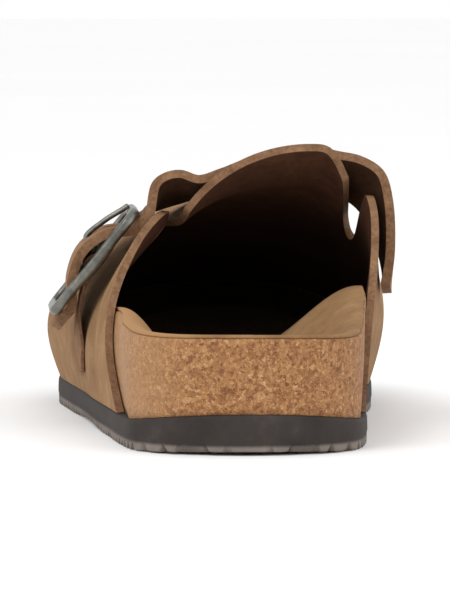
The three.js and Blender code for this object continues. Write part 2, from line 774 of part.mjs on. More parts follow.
// Buckle
function buildFrame() {
  const steps = 40;
  const halfLong = railPlace;
  const halfWide = (frameWidth - railWidth) / 2;
  const outline = new THREE.Path();
  outline.moveTo(-halfLong + frameCorner, -halfWide);
  outline.lineTo(halfLong - frameCorner, -halfWide);
  outline.absarc(halfLong - frameCorner, -halfWide + frameCorner, frameCorner, -Math.PI / 2, 0);
  outline.lineTo(halfLong, halfWide - frameCorner);
  outline.absarc(halfLong - frameCorner, halfWide - frameCorner, frameCorner, 0, Math.PI / 2);
  outline.lineTo(-halfLong + frameCorner, halfWide);
  outline.absarc(-halfLong + frameCorner, halfWide - frameCorner, frameCorner, Math.PI / 2, Math.PI);
  outline.lineTo(-halfLong, -halfWide + frameCorner);
  outline.absarc(-halfLong + frameCorner, -halfWide + frameCorner, frameCorner, Math.PI, Math.PI * 1.5);
  outline.closePath();
  const sides = 8;
  const point = (row, column) => {
    const share = (row % steps) / steps;
    const place = outline.getPointAt(share);
    const tangent = outline.getTangentAt(share);
    const angle = (column % sides + 0.5) / sides * Math.PI * 2;
    const square = Math.max(Math.abs(Math.cos(angle)), Math.abs(Math.sin(angle)));
    const across = Math.cos(angle) / square * 0.92 * railWidth / 2;
    const onSide = Math.abs(place.y) > halfWide - 0.5;
    const ear = onSide ? Math.max(0, 1 - (place.x / (halfLong * earReach)) ** 2) : 0;
    const lift = Math.sin(angle) / square;
    const out = lift > 0 ? lift * railDepth / 2 : lift * (railDepth / 2 + ear * earDepth);
    return bucklePoint(place.x + tangent.y * across, out, strapMiddle + place.y - tangent.x * across);
  };
  return faceOut(weld(gridTriangles(point, steps, sides, false)));
}

function rod(points, diameter, steps) {
  const sides = 4;
  const section = new THREE.Shape();
  section.absarc(0, 0, diameter / 2, 0, Math.PI * 2);
  const curve = new THREE.CatmullRomCurve3(points, false, 'centripetal');
  const geometry = new THREE.ExtrudeGeometry(section, { steps, extrudePath: curve, curveSegments: sides });
  return faceOut(plainSolid(geometry));
}

function buildBar() {
  const half = (frameWidth - 2 * railWidth) / 2 - gap;
  const ends = [-half, 0, half].map((across) => bucklePoint(0, 0, strapMiddle + across));
  return rod(ends, barDiameter, 4);
}

function buildProng() {
  const eyeSteps = 8;
  const places = [];
  for (let step = 0; step < eyeSteps; step += 1) {
    const angle = (-60 + step * 26) * radians;
    places.push(bucklePoint(eyeRadius * Math.cos(angle), eyeRadius * Math.sin(angle), strapMiddle));
  }
  for (const row of prongRows) {
    places.push(bucklePoint(row.place * railPlace, row.rise * overBar, strapMiddle));
  }
  const rest = railDepth / 2 + gap + prongDiameter / 2;
  places.push(bucklePoint(-railPlace, rest, strapMiddle));
  places.push(bucklePoint(-railPlace - prongTip, rest, strapMiddle));
  return rod(places, prongDiameter, 26);
}

// Tab that holds the buckle
function tabNodes(y) {
  const turn = turnAtAlong(alongAt(y));
  const seat = upperWall / 2 + gap + tabThickness / 2;
  const loop = barDiameter / 2 + gap + tabThickness / 2;
  const underStrap = underRail - strapThickness / 2 - gap - tabThickness;
  const nodes = tabSewnAngles.map((angle) => liftedPoint(turn, -1, angle, seat));
  nodes.push(bucklePoint(railPlace * 0.8, underStrap, y));
  nodes.push(bucklePoint(railPlace * 0.35, -loop - tabThickness / 2, y));
  for (let angle = 270; angle >= 90; angle -= 45) {
    const down = loop * Math.cos(angle * radians);
    const out = loop * Math.sin(angle * radians);
    nodes.push(bucklePoint(down, out, y));
  }
  nodes.push(bucklePoint(tabEnd, loop, y));
  return nodes;
}

function buildTab() {
  const lengthSteps = 32;
  const widthSteps = 4;
  const point = (row, column) => {
    const y = strapMiddle + tabWidth * (column / widthSteps - 0.5);
    const curve = new THREE.CatmullRomCurve3(tabNodes(y), false, 'centripetal');
    return curve.getPointAt(row / lengthSteps);
  };
  const band = thicken(weld(gridTriangles(point, lengthSteps, widthSteps, false)), tabThickness);
  const slot = new THREE.BoxGeometry(eyeRadius * 4, prongSlot, eyeRadius * 3);
  const middle = bucklePoint(0, 0, strapMiddle);
  slot.rotateY(-buckleSlope * radians);
  slot.translate(middle.x, middle.y, middle.z);
  return fromManifold(toManifold(band).subtract(toManifold(plainSolid(slot))));
}

const object = new THREE.Group();

function addPiece(name, geometry, color, roughness, metalness) {
  const material = new THREE.MeshStandardMaterial({ color, roughness, metalness });
  const mesh = new THREE.Mesh(geometry, material);
  mesh.name = name;
  object.add(mesh);
}

addPiece('outsole', buildOutsole(), '#35302e', 0.85, 0);
addPiece('footbed', buildFootbed(), '#a5784f', 0.9, 0);
addPiece('insole', buildInsole(), '#9a7a50', 0.95, 0);
addPiece('upper', buildUpper(), '#9a7b5c', 0.95, 0);
addPiece('strap', buildStrap(), '#93755a', 0.95, 0);
addPiece('buckle_frame', buildFrame(), '#7f8480', 0.35, 1);
addPiece('buckle_bar', buildBar(), '#7f8480', 0.35, 1);
addPiece('buckle_prong', buildProng(), '#7f8480', 0.35, 1);
addPiece('buckle_tab', buildTab(), '#8f7557', 0.95, 0);

export default object;
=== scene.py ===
import math
from functools import lru_cache

import bmesh
import bpy
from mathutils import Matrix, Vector


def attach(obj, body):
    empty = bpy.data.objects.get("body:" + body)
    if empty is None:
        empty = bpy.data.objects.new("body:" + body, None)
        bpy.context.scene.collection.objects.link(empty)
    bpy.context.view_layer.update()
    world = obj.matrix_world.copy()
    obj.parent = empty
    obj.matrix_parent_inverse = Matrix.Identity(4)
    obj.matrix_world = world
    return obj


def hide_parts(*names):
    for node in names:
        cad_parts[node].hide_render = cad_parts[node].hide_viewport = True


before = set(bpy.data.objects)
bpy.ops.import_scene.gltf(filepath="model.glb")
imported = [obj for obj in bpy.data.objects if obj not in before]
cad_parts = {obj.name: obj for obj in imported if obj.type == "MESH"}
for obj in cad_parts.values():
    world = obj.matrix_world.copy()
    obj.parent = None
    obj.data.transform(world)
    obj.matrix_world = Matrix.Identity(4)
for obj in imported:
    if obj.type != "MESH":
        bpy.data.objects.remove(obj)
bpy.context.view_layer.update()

MM = 0.001

# Sizes of the last and the sole, in millimetres
SOLE_LENGTH = 280
BALL_WIDTH = 102.5
HEEL_WIDTH = 75.8
HEEL_SEAT = 45
SOLE_THICKNESS = 8.8
HEEL_LIFT = 2.6
HEEL_SPRING = 1.2
TOE_SPRING = 13
WAIST_RISE = 1.2
SOLE_BULGE = 0.6
SPRING_STARTS = {"heel": 0.12, "lift": 0.16, "toe": 0.72, "toe_room": 0.9}
WAIST = {"start": 0.28, "middle": 0.43, "end": 0.58}
SPINE_ENDS = {"heel": 0.45, "toe": 0.42}
TOE_ROOM = 0.35

# Tread: ribs that run across the sole in zigzags
TREAD_DEPTH = 2.2
RIB_PITCH = 5.6
ZIGZAG_WIDTH = 13.5
ZIGZAG_REACH = 3.4

# Footbed and lining
CORK_HEIGHT = 35
CORK_INSET = 0.8
INSOLE_THICKNESS = 1.2
RIM_FLAT = 0.95
RIM_ON_WING = 0.4
FOOT_MOVES_IN = 0.09
RIM_MOVES_IN = 0.13
BEFORE_WING = 0.004
CORK_PLAY = 1.5

# Upper
INSTEP_HEIGHT = 88
UPPER_WALL = 2.4
TONGUE_CORNER = 9
TONGUE_CURL = {-1: 1.5, 1: 0.5}
WING_FLARE = {-1: 4.5, 1: 5}
FULL_BULGE = 0.238

# Strap and buckle
STRAP_WIDTH = 26
STRAP_THICKNESS = 3
HOLE_PITCH = 7.5
HOLE_DIAMETER = 3.8
HOLE_COUNT = 4
FRAME_LENGTH = 42.6
FRAME_WIDTH = 36
FRAME_CORNER = 5
RAIL_WIDTH = 3.5
RAIL_DEPTH = 3.2
EAR_DEPTH = 0.8
EAR_REACH = 0.45
BAR_DIAMETER = 1.8
PRONG_DIAMETER = 1.8
PRONG_TIP = 1
PRONG_SLOT = 4
BUCKLE_SLOPE = math.radians(50.7)
BUCKLE_YAW = math.radians(0.2)
BUCKLE_ANGLE = 30.2
BUCKLE_STAND = 8.6
TAB_WIDTH = 18
TAB_THICKNESS = 1.2
TAB_END = 3
GAP = 0.3

# Places along the shoe from the heel's back, as shares of the sole's length
SLIT_START_SHARE = 0.357
SLIT_END_SHARE = 0.5715
TONGUE_REAR_SHARE = 0.3786
STRAP_PLACE_SHARE = 0.4643
STRAP_MIDDLE = STRAP_PLACE_SHARE * SOLE_LENGTH - HEEL_SEAT

OUTLINE_ROWS = [
    {"turn": 0, "heel": 1, "outer": 0, "inner": 0},
    {"turn": 1, "heel": 1, "outer": 0.27, "inner": 0.27},
    {"turn": 2, "heel": 1, "outer": 0.438, "inner": 0.438},
    {"turn": 3, "heel": 1, "outer": 0.498, "inner": 0.5},
    {"turn": 4, "heel": 0.8, "outer": 0.502, "inner": 0.486},
    {"turn": 5, "heel": 0.5, "outer": 0.498, "inner": 0.442},
    {"turn": 6, "heel": 0.25, "outer": 0.495, "inner": 0.445},
    {"turn": 7, "heel": 0, "outer": 0.502, "inner": 0.464},
    {"turn": 8, "heel": 0, "outer": 0.527, "inner": 0.476},
    {"turn": 9, "heel": 0, "outer": 0.473, "inner": 0.444},
    {"turn": 10, "heel": 0, "outer": 0.361, "inner": 0.366},
    {"turn": 11, "heel": 0, "outer": 0.19, "inner": 0.244},
    {"turn": 12, "heel": 0, "outer": -0.03, "inner": 0.03},
]
LAST_TURN = 12

BED_ROWS = [
    {"along": 0, "rim-1": 0.64, "rim1": 0.64, "bed": 0.3, "slope-1": 0.4, "slope1": 0.4},
    {"along": 0.14, "rim-1": 0.78, "rim1": 0.75, "bed": 0.34, "slope-1": 0.42, "slope1": 0.4},
    {"along": 0.33, "rim-1": 0.82, "rim1": 1, "bed": 0.41, "slope-1": 0.48, "slope1": 0.15},
    {"along": 0.5, "rim-1": 0.64, "rim1": 0.8, "bed": 0.4, "slope-1": 0.6, "slope1": 0.3},
    {"along": 0.64, "rim-1": 0.5, "rim1": 0.52, "bed": 0.28, "slope-1": 0.75, "slope1": 0.7},
    {"along": 0.8, "rim-1": 0.46, "rim1": 0.46, "bed": 0.24, "slope-1": 0.8, "slope1": 0.8},
    {"along": 1, "rim-1": 0.4, "rim1": 0.4, "bed": 0.24, "slope-1": 0.8, "slope1": 0.8},
]

RIDGE_ROWS = [
    {"along": 0, "ridge": 0, "shift": 0.229, "height": 1.05},
    {"along": 0.18, "ridge": 0.18, "shift": 0.229, "height": 1.05},
    {"along": 0.37, "ridge": 0.37, "shift": 0.232, "height": 1.01},
    {"along": 0.46, "ridge": 0.46, "shift": 0.2, "height": 0.885},
    {"along": 0.6, "ridge": 0.595, "shift": 0.07, "height": 0.775},
    {"along": 0.72, "ridge": 0.69, "shift": 0.01, "height": 0.665},
    {"along": 0.83, "ridge": 0.76, "shift": 0.005, "height": 0.605},
    {"along": 0.93, "ridge": 0.8, "shift": 0.01, "height": 0.578},
    {"along": 1, "ridge": 0.81, "shift": 0.012, "height": 0.57},
]

SIDE_ROWS = [
    {"along": 0, "power-1": 2, "power1": 4, "bulge-1": 0.02, "bulge1": 0.02},
    {"along": 0.18, "power-1": 2, "power1": 4, "bulge-1": 0.02, "bulge1": 0.02},
    {"along": 0.37, "power-1": 1.93, "power1": 4, "bulge-1": 0.035, "bulge1": 0.03},
    {"along": 0.46, "power-1": 1.92, "power1": 3.6, "bulge-1": 0.045, "bulge1": 0.035},
    {"along": 0.6, "power-1": 2.6, "power1": 2.9, "bulge-1": 0.045, "bulge1": 0.04},
    {"along": 0.72, "power-1": 2.6, "power1": 2.6, "bulge-1": 0.045, "bulge1": 0.04},
    {"along": 0.83, "power-1": 2.4, "power1": 2.4, "bulge-1": 0.04, "bulge1": 0.04},
    {"along": 0.93, "power-1": 2.3, "power1": 2.3, "bulge-1": 0.04, "bulge1": 0.04},
    {"along": 1, "power-1": 2.3, "power1": 2.3, "bulge-1": 0.04, "bulge1": 0.04},
]

WING_ROWS = [
    {"rise": 0, "start-1": 0.186, "start1": 0.186},
    {"rise": 0.2, "start-1": 0.262, "start1": 0.262},
    {"rise": 0.4, "start-1": 0.311, "start1": 0.309},
    {"rise": 0.6, "start-1": 0.346, "start1": 0.347},
    {"rise": 0.8, "start-1": 0.386, "start1": 0.388},
    {"rise": 0.93, "start-1": 0.415, "start1": 0.417},
    {"rise": 1, "start-1": 0.446, "start1": 0.446},
]

# Slit between the wing and the tongue on either side, from its rear to its front end
SLIT_ROWS = [
    {"share": 0, "angle-1": 53.5, "angle1": 51, "opening-1": 0.6, "opening1": 1},
    {"share": 0.35, "angle-1": 53.5, "angle1": 49.2, "opening-1": 0.8, "opening1": 1.8},
    {"share": 0.66, "angle-1": 53, "angle1": 46.8, "opening-1": 1, "opening1": 2.8},
    {"share": 1, "angle-1": 52, "angle1": 45, "opening-1": 0.8, "opening1": 2.4},
]

# Path of the strap over the instep: how far its rear and front edges stand off the upper, as shares of
# the buckle's stand
STRAP_ROWS = [
    {"side": 1, "angle": 26, "rear": 0.12, "front": 0.07},
    {"side": 1, "angle": 32, "rear": 0.28, "front": 0.07},
    {"side": 1, "angle": 42, "rear": 0.651, "front": 0.186},
    {"side": 1, "angle": 48, "rear": 0.86, "front": 0.233},
    {"side": 1, "angle": 54, "rear": 0.581, "front": 0.14},
    {"side": 1, "angle": 62, "rear": 0.163, "front": 0.047},
    {"side": 1, "angle": 76, "rear": 0.035, "front": 0.035},
    {"side": -1, "angle": 80, "rear": 0.035, "front": 0.035},
    {"side": -1, "angle": 68, "rear": 0.035, "front": 0.035},
    {"side": -1, "angle": 62, "rear": 0.233, "front": 0.035},
    {"side": -1, "angle": 59, "rear": 0.767, "front": 0.116},
    {"side": -1, "angle": 56, "rear": 1, "front": 0.209},
    {"side": -1, "angle": 53, "rear": 1, "front": 0.302},
]

# Run of the strap through the buckle: shares of the way from the bar to a rail, and of the way from
# under the rail to over the bar
RUN_ROWS = [
    {"place": -1.11, "rise": -0.08},
    {"place": -1, "rise": 0},
    {"place": -0.82, "rise": 0},
    {"place": -0.45, "rise": 0.76},
    {"place": 0, "rise": 1},
    {"place": 0.45, "rise": 0.66},
    {"place": 0.82, "rise": 0},
    {"place": 1, "rise": 0},
    {"place": 1.26, "rise": -0.05},
]

# Run of the prong from its eye up through the strap's hole: shares of the way from the bar to the
# rail, and of the strap's height over the bar
PRONG_ROWS = [
    {"place": -0.174, "rise": 0.52},
    {"place": -0.187, "rise": 0.9},
    {"place": -0.205, "rise": 1.32},
    {"place": -0.6, "rise": 1.06},
]
PRONG_IN_HOLE = PRONG_ROWS[1]

# Creases of the suede. A row is a soft line over the upper from one place to another, by the length
# along the shoe and the angle up its side, with its width and depth in millimetres. A negative depth
# is a ridge.
CREASE_ROWS = [
    {"side": -1, "from": (100, 8), "to": (112, 21), "width": 5, "depth": 0.9},
    {"side": -1, "from": (113, 6), "to": (121, 24), "width": 6, "depth": -0.6},
    {"side": -1, "from": (160, 46), "to": (186, 42), "width": 7, "depth": 0.8},
    {"side": -1, "from": (186, 40), "to": (203, 26), "width": 9, "depth": 0.7},
    {"side": 1, "from": (160, 44), "to": (188, 40), "width": 7, "depth": 0.8},
    {"side": 1, "from": (190, 38), "to": (206, 24), "width": 9, "depth": 0.7},
    {"side": -1, "from": (196, 58), "to": (202, 88), "width": 8, "depth": 0.6},
    {"side": 1, "from": (198, 58), "to": (202, 88), "width": 8, "depth": 0.6},
    {"side": 1, "from": (92, 6), "to": (104, 20), "width": 7, "depth": 0.6},
]


def mix(start, end, share):
    return start + (end - start) * share


def clamp(value, low=0.0, high=1.0):
    return min(high, max(low, value))


def smooth_step(low, high, value):
    share = clamp((value - low) / (high - low))
    return share * share * (3 - 2 * share)


def column_at(rows, key, column, place):
    """A column of a table as a smooth curve through its rows."""
    last = len(rows) - 1
    at = clamp(place, rows[0][key], rows[last][key])
    row = 0
    while row < last - 1 and rows[row + 1][key] < at:
        row += 1

    def slope_at(index):
        before = rows[max(0, index - 1)]
        after = rows[min(last, index + 1)]
        return (after[column] - before[column]) / (after[key] - before[key])

    span = rows[row + 1][key] - rows[row][key]
    share = (at - rows[row][key]) / span
    square = share * share
    cube = square * share
    return (
        (2 * cube - 3 * square + 1) * rows[row][column]
        + (cube - 2 * square + share) * span * slope_at(row)
        + (3 * square - 2 * cube) * rows[row + 1][column]
        + (cube - square) * span * slope_at(row + 1)
    )


# The turn runs from 0 at the heel's back to 1 at the toe tip, and closes both ends round.
def along_at_turn(turn):
    return (1 - math.cos(math.pi * turn)) / 2


def turn_at_along(along):
    return math.acos(1 - 2 * clamp(along)) / math.pi


def along_at(y):
    return (y + HEEL_SEAT) / SOLE_LENGTH


@lru_cache(None)
def raw_edge(turn, side):
    branch = side if turn < 1 - 1e-9 else 1
    row = turn * LAST_TURN
    width = mix(BALL_WIDTH, HEEL_WIDTH, column_at(OUTLINE_ROWS, "turn", "heel", row))
    share = column_at(OUTLINE_ROWS, "turn", "outer" if branch < 0 else "inner", row)
    return Vector((branch * share * width, along_at_turn(turn) * SOLE_LENGTH - HEEL_SEAT))


@lru_cache(None)
def edge_point(turn, side, inset):
    """A point of the sole's outline, moved inwards by the inset."""
    step = 0.002
    point = raw_edge(turn, side)
    if turn < step:
        return Vector((point.x, point.y + inset))
    if turn > 1 - step:
        return Vector((point.x, point.y - inset))
    tangent = (raw_edge(turn + step, side) - raw_edge(turn - step, side)).normalized()
    return Vector((point.x - side * tangent.y * inset, point.y + side * tangent.x * inset))


@lru_cache(None)
def spine_point(turn):
    """The place on the sole's middle line that a turn of the outline draws in to."""
    start = HEEL_WIDTH * SPINE_ENDS["heel"]
    end = SOLE_LENGTH - BALL_WIDTH * SPINE_ENDS["toe"]
    along = mix(start, end, along_at_turn(turn)) / SOLE_LENGTH
    place = turn_at_along(along)
    across = (raw_edge(place, 1).x + raw_edge(place, -1).x) / 2
    return Vector((across, along * SOLE_LENGTH - HEEL_SEAT))


def spring_at(along):
    start = SPRING_STARTS["toe"]
    heel = HEEL_SPRING * max(0, 1 - along / SPRING_STARTS["heel"]) ** 2
    toe = TOE_SPRING * (max(0, along - start) / (1 - start)) ** 2
    return heel + toe


def sole_bottom(y):
    along = along_at(y)
    rise = smooth_step(WAIST["start"], WAIST["middle"], along)
    fall = smooth_step(WAIST["middle"], WAIST["end"], along)
    return spring_at(along) + WAIST_RISE * rise * (1 - fall)


def sole_top(y):
    along = along_at(y)
    lift = HEEL_LIFT * max(0, 1 - along / SPRING_STARTS["lift"]) ** 2
    return spring_at(along) + SOLE_THICKNESS + lift


def toe_slack(y):
    return TOE_ROOM * smooth_step(SPRING_STARTS["toe"], SPRING_STARTS["toe_room"], along_at(y))


SECTION_STEPS = 900


@lru_cache(None)
def section_row(step, side):
    turn = step / SECTION_STEPS
    along = along_at_turn(turn)
    foot = edge_point(turn, side, SOLE_BULGE + UPPER_WALL / 2)
    return (
        foot.x,
        foot.y,
        column_at(RIDGE_ROWS, "along", "shift", along) * BALL_WIDTH,
        column_at(RIDGE_ROWS, "along", "ridge", along) * SOLE_LENGTH - HEEL_SEAT,
        sole_top(foot.y) + GAP + toe_slack(foot.y),
        column_at(RIDGE_ROWS, "along", "height", along) * INSTEP_HEIGHT,
        column_at(SIDE_ROWS, "along", f"power{side}", along),
        column_at(SIDE_ROWS, "along", f"bulge{side}", along) * BALL_WIDTH,
    )


class Section:
    """One side of the upper at one turn: where it stands, its ridge and its curve."""

    def __init__(self, turn, side):
        at = clamp(turn) * SECTION_STEPS
        step = min(int(at), SECTION_STEPS - 1)
        branch = side if step < SECTION_STEPS - 1 or turn < 1 - 1e-9 else 1
        rows = zip(section_row(step, branch), section_row(step + 1, branch))
        values = [mix(low, high, at - step) for low, high in rows]
        self.foot = Vector(values[0:2])
        self.ridge = Vector(values[2:4])
        self.floor, self.top, self.power, self.bulge = values[4:]

    def reach(self, height):
        """The place of the upper's middle surface at a share of the height."""
        width = max(0, 1 - height ** self.power) ** (1 / self.power)
        bulge = (self.bulge / FULL_BULGE) * height * width ** 6
        across = self.foot - self.ridge
        return self.ridge + across * (width + bulge / across.length)


def middle_point(turn, side, angle):
    section = Section(turn, side)
    width = abs(math.cos(math.radians(angle)))
    height = math.sin(math.radians(angle))
    ray = (width ** section.power + height ** section.power) ** (-1 / section.power)
    place = section.reach(min(1, height * ray))
    return Vector((place.x, place.y, mix(section.floor, section.top, height * ray)))


def outwards_at(turn, side, angle):
    step = 1
    low = middle_point(turn, side, max(0, angle - step))
    high = middle_point(turn, side, min(90, angle + step))
    rise = high - low
    return Vector((side * rise.z, 0, -side * rise.x)).normalized()


def lifted_point(turn, side, angle, lift):
    return middle_point(turn, side, angle) + outwards_at(turn, side, angle) * lift


# Shapes
def ring_loft(half_count, rings):
    """A shell from a circle that is pushed on from ring to ring, with its first and last ring closed."""
    shell = bmesh.new()
    column = shell.verts.layers.int.new("column")
    count = half_count * 2
    circle = bmesh.ops.create_circle(shell, segments=count, radius=1, cap_ends=False)
    for index, corner in enumerate(circle["verts"]):
        corner[column] = index

    def seat(corners, ring):
        for corner in corners:
            index = corner[column]
            side = -1 if index <= half_count else 1
            turn = (index if side < 0 else count - index) / half_count
            corner.co = Vector(ring(turn, side)) * MM

    seat(circle["verts"], rings[0])
    edges = shell.edges[:]
    for ring in rings[1:]:
        made = bmesh.ops.extrude_edge_only(shell, edges=edges)["geom"]
        edges = [item for item in made if isinstance(item, bmesh.types.BMEdge)]
        seat([item for item in made if isinstance(item, bmesh.types.BMVert)], ring)
    return shell


def patch(shell, columns, rows, place):
    """A grid whose corners are laid on a surface by their shares of its length and width."""
    made = bmesh.ops.create_grid(shell, x_segments=columns, y_segments=rows, size=0.5)
    for corner in made["verts"]:
        corner.co = place(corner.co.x + 0.5, corner.co.y + 0.5) * MM


def tube(frames, section, closed=False):
    """A bar pushed along frames of a middle and two directions, with a section of places round it."""
    shell = bmesh.new()
    column = shell.verts.layers.int.new("column")
    circle = bmesh.ops.create_circle(shell, segments=len(section(0)), radius=1, cap_ends=False)
    for index, corner in enumerate(circle["verts"]):
        corner[column] = index

    def seat(corners, step):
        middle, across, out = frames[step]
        ring = section(step)
        for corner in corners:
            side, up = ring[corner[column]]
            corner.co = (middle + across * side + out * up) * MM

    seat(circle["verts"], 0)
    first = shell.edges[:]
    edges = first
    for step in range(1, len(frames)):
        made = bmesh.ops.extrude_edge_only(shell, edges=edges)["geom"]
        edges = [item for item in made if isinstance(item, bmesh.types.BMEdge)]
        seat([item for item in made if isinstance(item, bmesh.types.BMVert)], step)
    if closed:
        bmesh.ops.bridge_loops(shell, edges=first + edges)
    else:
        bmesh.ops.edgeloop_fill(shell, edges=first)
        bmesh.ops.edgeloop_fill(shell, edges=edges)
    return shell


class Path:
    """A smooth curve through places, read by the share of its length."""

    SAMPLES = 24

    def __init__(self, places):
        ends = [places[0] * 2 - places[1], *places, places[-1] * 2 - places[-2]]
        self.points = [places[0]]
        for index in range(1, len(places)):
            span = ends[index - 1:index + 3]
            for sample in range(1, self.SAMPLES + 1):
                self.points.append(self.between(span, sample / self.SAMPLES))
        self.lengths = [0.0]
        for before, after in zip(self.points, self.points[1:]):
            self.lengths.append(self.lengths[-1] + (after - before).length)
        self.length = self.lengths[-1]

    @staticmethod
    def between(span, share):
        a, b, c, d = span
        knots = [0.0]
        for before, after in zip(span, span[1:]):
            knots.append(knots[-1] + max(1e-6, (after - before).length ** 0.5))
        at = mix(knots[1], knots[2], share)

        def lerp(low, high, start, end):
            return low + (high - low) * ((at - start) / (end - start))

        ab = lerp(a, b, knots[0], knots[1])
        bc = lerp(b, c, knots[1], knots[2])
        cd = lerp(c, d, knots[2], knots[3])
        return lerp(lerp(ab, bc, knots[0], knots[2]), lerp(bc, cd, knots[1], knots[3]), knots[1], knots[2])

    def at(self, share):
        target = clamp(share) * self.length
        low = 0
        high = len(self.lengths) - 1
        while high - low > 1:
            middle = (low + high) // 2
            if self.lengths[middle] <= target:
                low = middle
            else:
                high = middle
        step = self.lengths[high] - self.lengths[low]
        return self.points[low].lerp(self.points[high], (target - self.lengths[low]) / step)

    def tangent(self, share):
        step = 0.002
        return (self.at(share + step) - self.at(share - step)).normalized()


# Materials
def colour(code):
    parts = [int(code[at:at + 2], 16) / 255 for at in (1, 3, 5)]
    linear = [part / 12.92 if part <= 0.04045 else ((part + 0.055) / 1.055) ** 2.4 for part in parts]
    return (*linear, 1)


class Value:
    """A socket of a material, with maths written as Python operators."""

    def __init__(self, finish, socket):
        self.finish = finish
        self.socket = socket

    def maths(self, operation, first, second=0.0):
        return self.finish.node("Math", "Value", {"operation": operation}, {0: first, 1: second})

    def __add__(self, other):
        return self.maths("ADD", self, other)

    def __radd__(self, other):
        return self.maths("ADD", other, self)

    def __sub__(self, other):
        return self.maths("SUBTRACT", self, other)

    def __rsub__(self, other):
        return self.maths("SUBTRACT", other, self)

    def __mul__(self, other):
        return self.maths("MULTIPLY", self, other)

    def __rmul__(self, other):
        return self.maths("MULTIPLY", other, self)

    def step(self, low, high):
        """0 below the low value and 1 above the high one, with a soft passage."""
        sockets = {"Value": self, "From Min": low, "From Max": high}
        return self.finish.node("MapRange", "Result", {"interpolation_type": "SMOOTHSTEP"}, sockets)


class Finish:
    """One material on Object coordinates. Its constants sit on the shader's own sockets."""

    def __init__(self, name, constants):
        self.material = bpy.data.materials.new(name)
        self.material.use_nodes = True
        self.tree = self.material.node_tree
        self.shader = self.tree.nodes["Principled BSDF"]
        for socket, value in constants.items():
            self.shader.inputs[socket].default_value = value
        self.place = self.node("TexCoord", "Object", {}, {})

    def node(self, kind, output, settings, sockets):
        made = self.tree.nodes.new("ShaderNode" + kind)
        for name, value in settings.items():
            if name == "stops":
                self.set_stops(made.color_ramp, value)
            else:
                setattr(made, name, value)
        for name, value in sockets.items():
            if isinstance(value, Value):
                self.tree.links.new(value.socket, made.inputs[name])
            else:
                made.inputs[name].default_value = value
        return Value(self, made.outputs[output])

    @staticmethod
    def set_stops(ramp, stops):
        for _ in stops[2:]:
            ramp.elements.new(0.5)
        for element, (position, tone) in zip(ramp.elements, stops):
            element.position = position
            element.color = colour(tone)

    def level(self, axis):
        """The place along X, Y or Z, in millimetres."""
        return self.node("SeparateXYZ", axis, {}, {"Vector": self.place}) * (1 / MM)

    def wobble(self, size, reach):
        """The place, pushed about by up to the reach in millimetres."""
        sockets = {"Vector": self.place, "Scale": 1 / (size * MM), "Detail": 2.0}
        drift = self.node("TexNoise", "Color", {}, sockets)
        span = reach * MM * 2
        settings = {"operation": "MULTIPLY_ADD"}
        push = self.node("VectorMath", "Vector", settings, {0: drift, 1: (span,) * 3, 2: (-span / 2,) * 3})
        return self.node("VectorMath", "Vector", {"operation": "ADD"}, {0: self.place, 1: push})

    def near(self, place, radius):
        """1 at a place given in millimetres and 0 further off than the radius."""
        settings = {"operation": "DISTANCE"}
        away = self.node("VectorMath", "Value", settings, {0: self.place, 1: Vector(place) * MM})
        return 1 - (away * (1 / MM)).step(radius * 0.45, radius)

    def noise(self, size, detail=2.0, roughness=0.5, stretch=(1, 1, 1)):
        """Noise whose patches are about the size in millimetres."""
        place = self.node("Mapping", "Vector", {}, {"Vector": self.place, "Scale": stretch})
        sockets = {"Vector": place, "Scale": 1 / (size * MM), "Detail": detail, "Roughness": roughness}
        return self.node("TexNoise", "Fac", {}, sockets)

    def grains(self, size, output, place, feature="F1"):
        """Grains of about the size in millimetres, as a colour each or as the distance to an edge."""
        sockets = {"Vector": place, "Scale": 1 / (size * MM), "Randomness": 1.0}
        return self.node("TexVoronoi", output, {"feature": feature}, sockets)

    def ramp(self, value, stops):
        return self.node("ValToRGB", "Color", {"stops": stops}, {"Fac": value})

    def blend(self, factor, below, above, kind="MIX"):
        settings = {"data_type": "RGBA", "blend_type": kind}
        return self.node("Mix", 2, settings, {0: factor, 6: below, 7: above})

    def red(self, tone):
        return self.node("SeparateColor", "Red", {}, {"Color": tone})

    def relief(self, value, depth, strength, below=None):
        """A bump as deep as the depth in millimetres, on top of the one below if there is one."""
        sockets = {"Height": value, "Distance": depth * MM, "Strength": strength}
        if below:
            sockets["Normal"] = below
        return self.node("Bump", "Normal", {}, sockets)

    def wear(self, socket, value):
        self.tree.links.new(value.socket, self.shader.inputs[socket])


def suede(name, dark, middle, light, fleck, shade=None):
    """Napped leather: brushed patches, a short fibre and fine flecks."""
    constants = {"Sheen Weight": 0.3, "Sheen Roughness": 0.45, "Sheen Tint": colour(light)}
    constants["Specular IOR Level"] = 0.15
    finish = Finish(name, constants)
    brushed = finish.noise(26, 4, 0.62, (1, 0.7, 1.2))
    cloud = finish.noise(8, 3, 0.6)
    fibre = finish.noise(0.6, 3, 0.7)
    fleck_mask = finish.noise(1.8, 2, 0.6).step(0.5, 0.66)
    tone = finish.ramp(brushed * 0.55 + cloud * 0.45, [(0.33, dark), (0.5, middle), (0.67, light)])
    tone = finish.blend(fleck_mask * 0.4, tone, colour(fleck))
    tone = finish.blend(0.28, tone, finish.ramp(fibre, [(0.3, dark), (0.7, light)]), "OVERLAY")
    if shade:
        tone = shade(finish, tone)
    finish.wear("Base Color", tone)
    finish.wear("Roughness", 0.82 + brushed * 0.14)
    nap = finish.relief(fibre * 0.7 + cloud * 0.3, 0.45, 0.55)
    finish.wear("Normal", finish.relief(finish.noise(3.2, 3, 0.6), 0.8, 0.35, nap))
    return finish.material


def painted_shade_to_toe(finish, tone):
    """Lining, with painted shade that darkens it more and more towards the toe."""
    tone = finish.blend((1 - finish.level("X").step(-26, -12)) * 0.85, tone, colour("#a98259"))
    # Painted shade: the lining turns near black towards the toe, where the upper covers the bed.
    return finish.blend(finish.level("Y").step(46, 80) * 0.96, tone, colour("#0f0b08"))


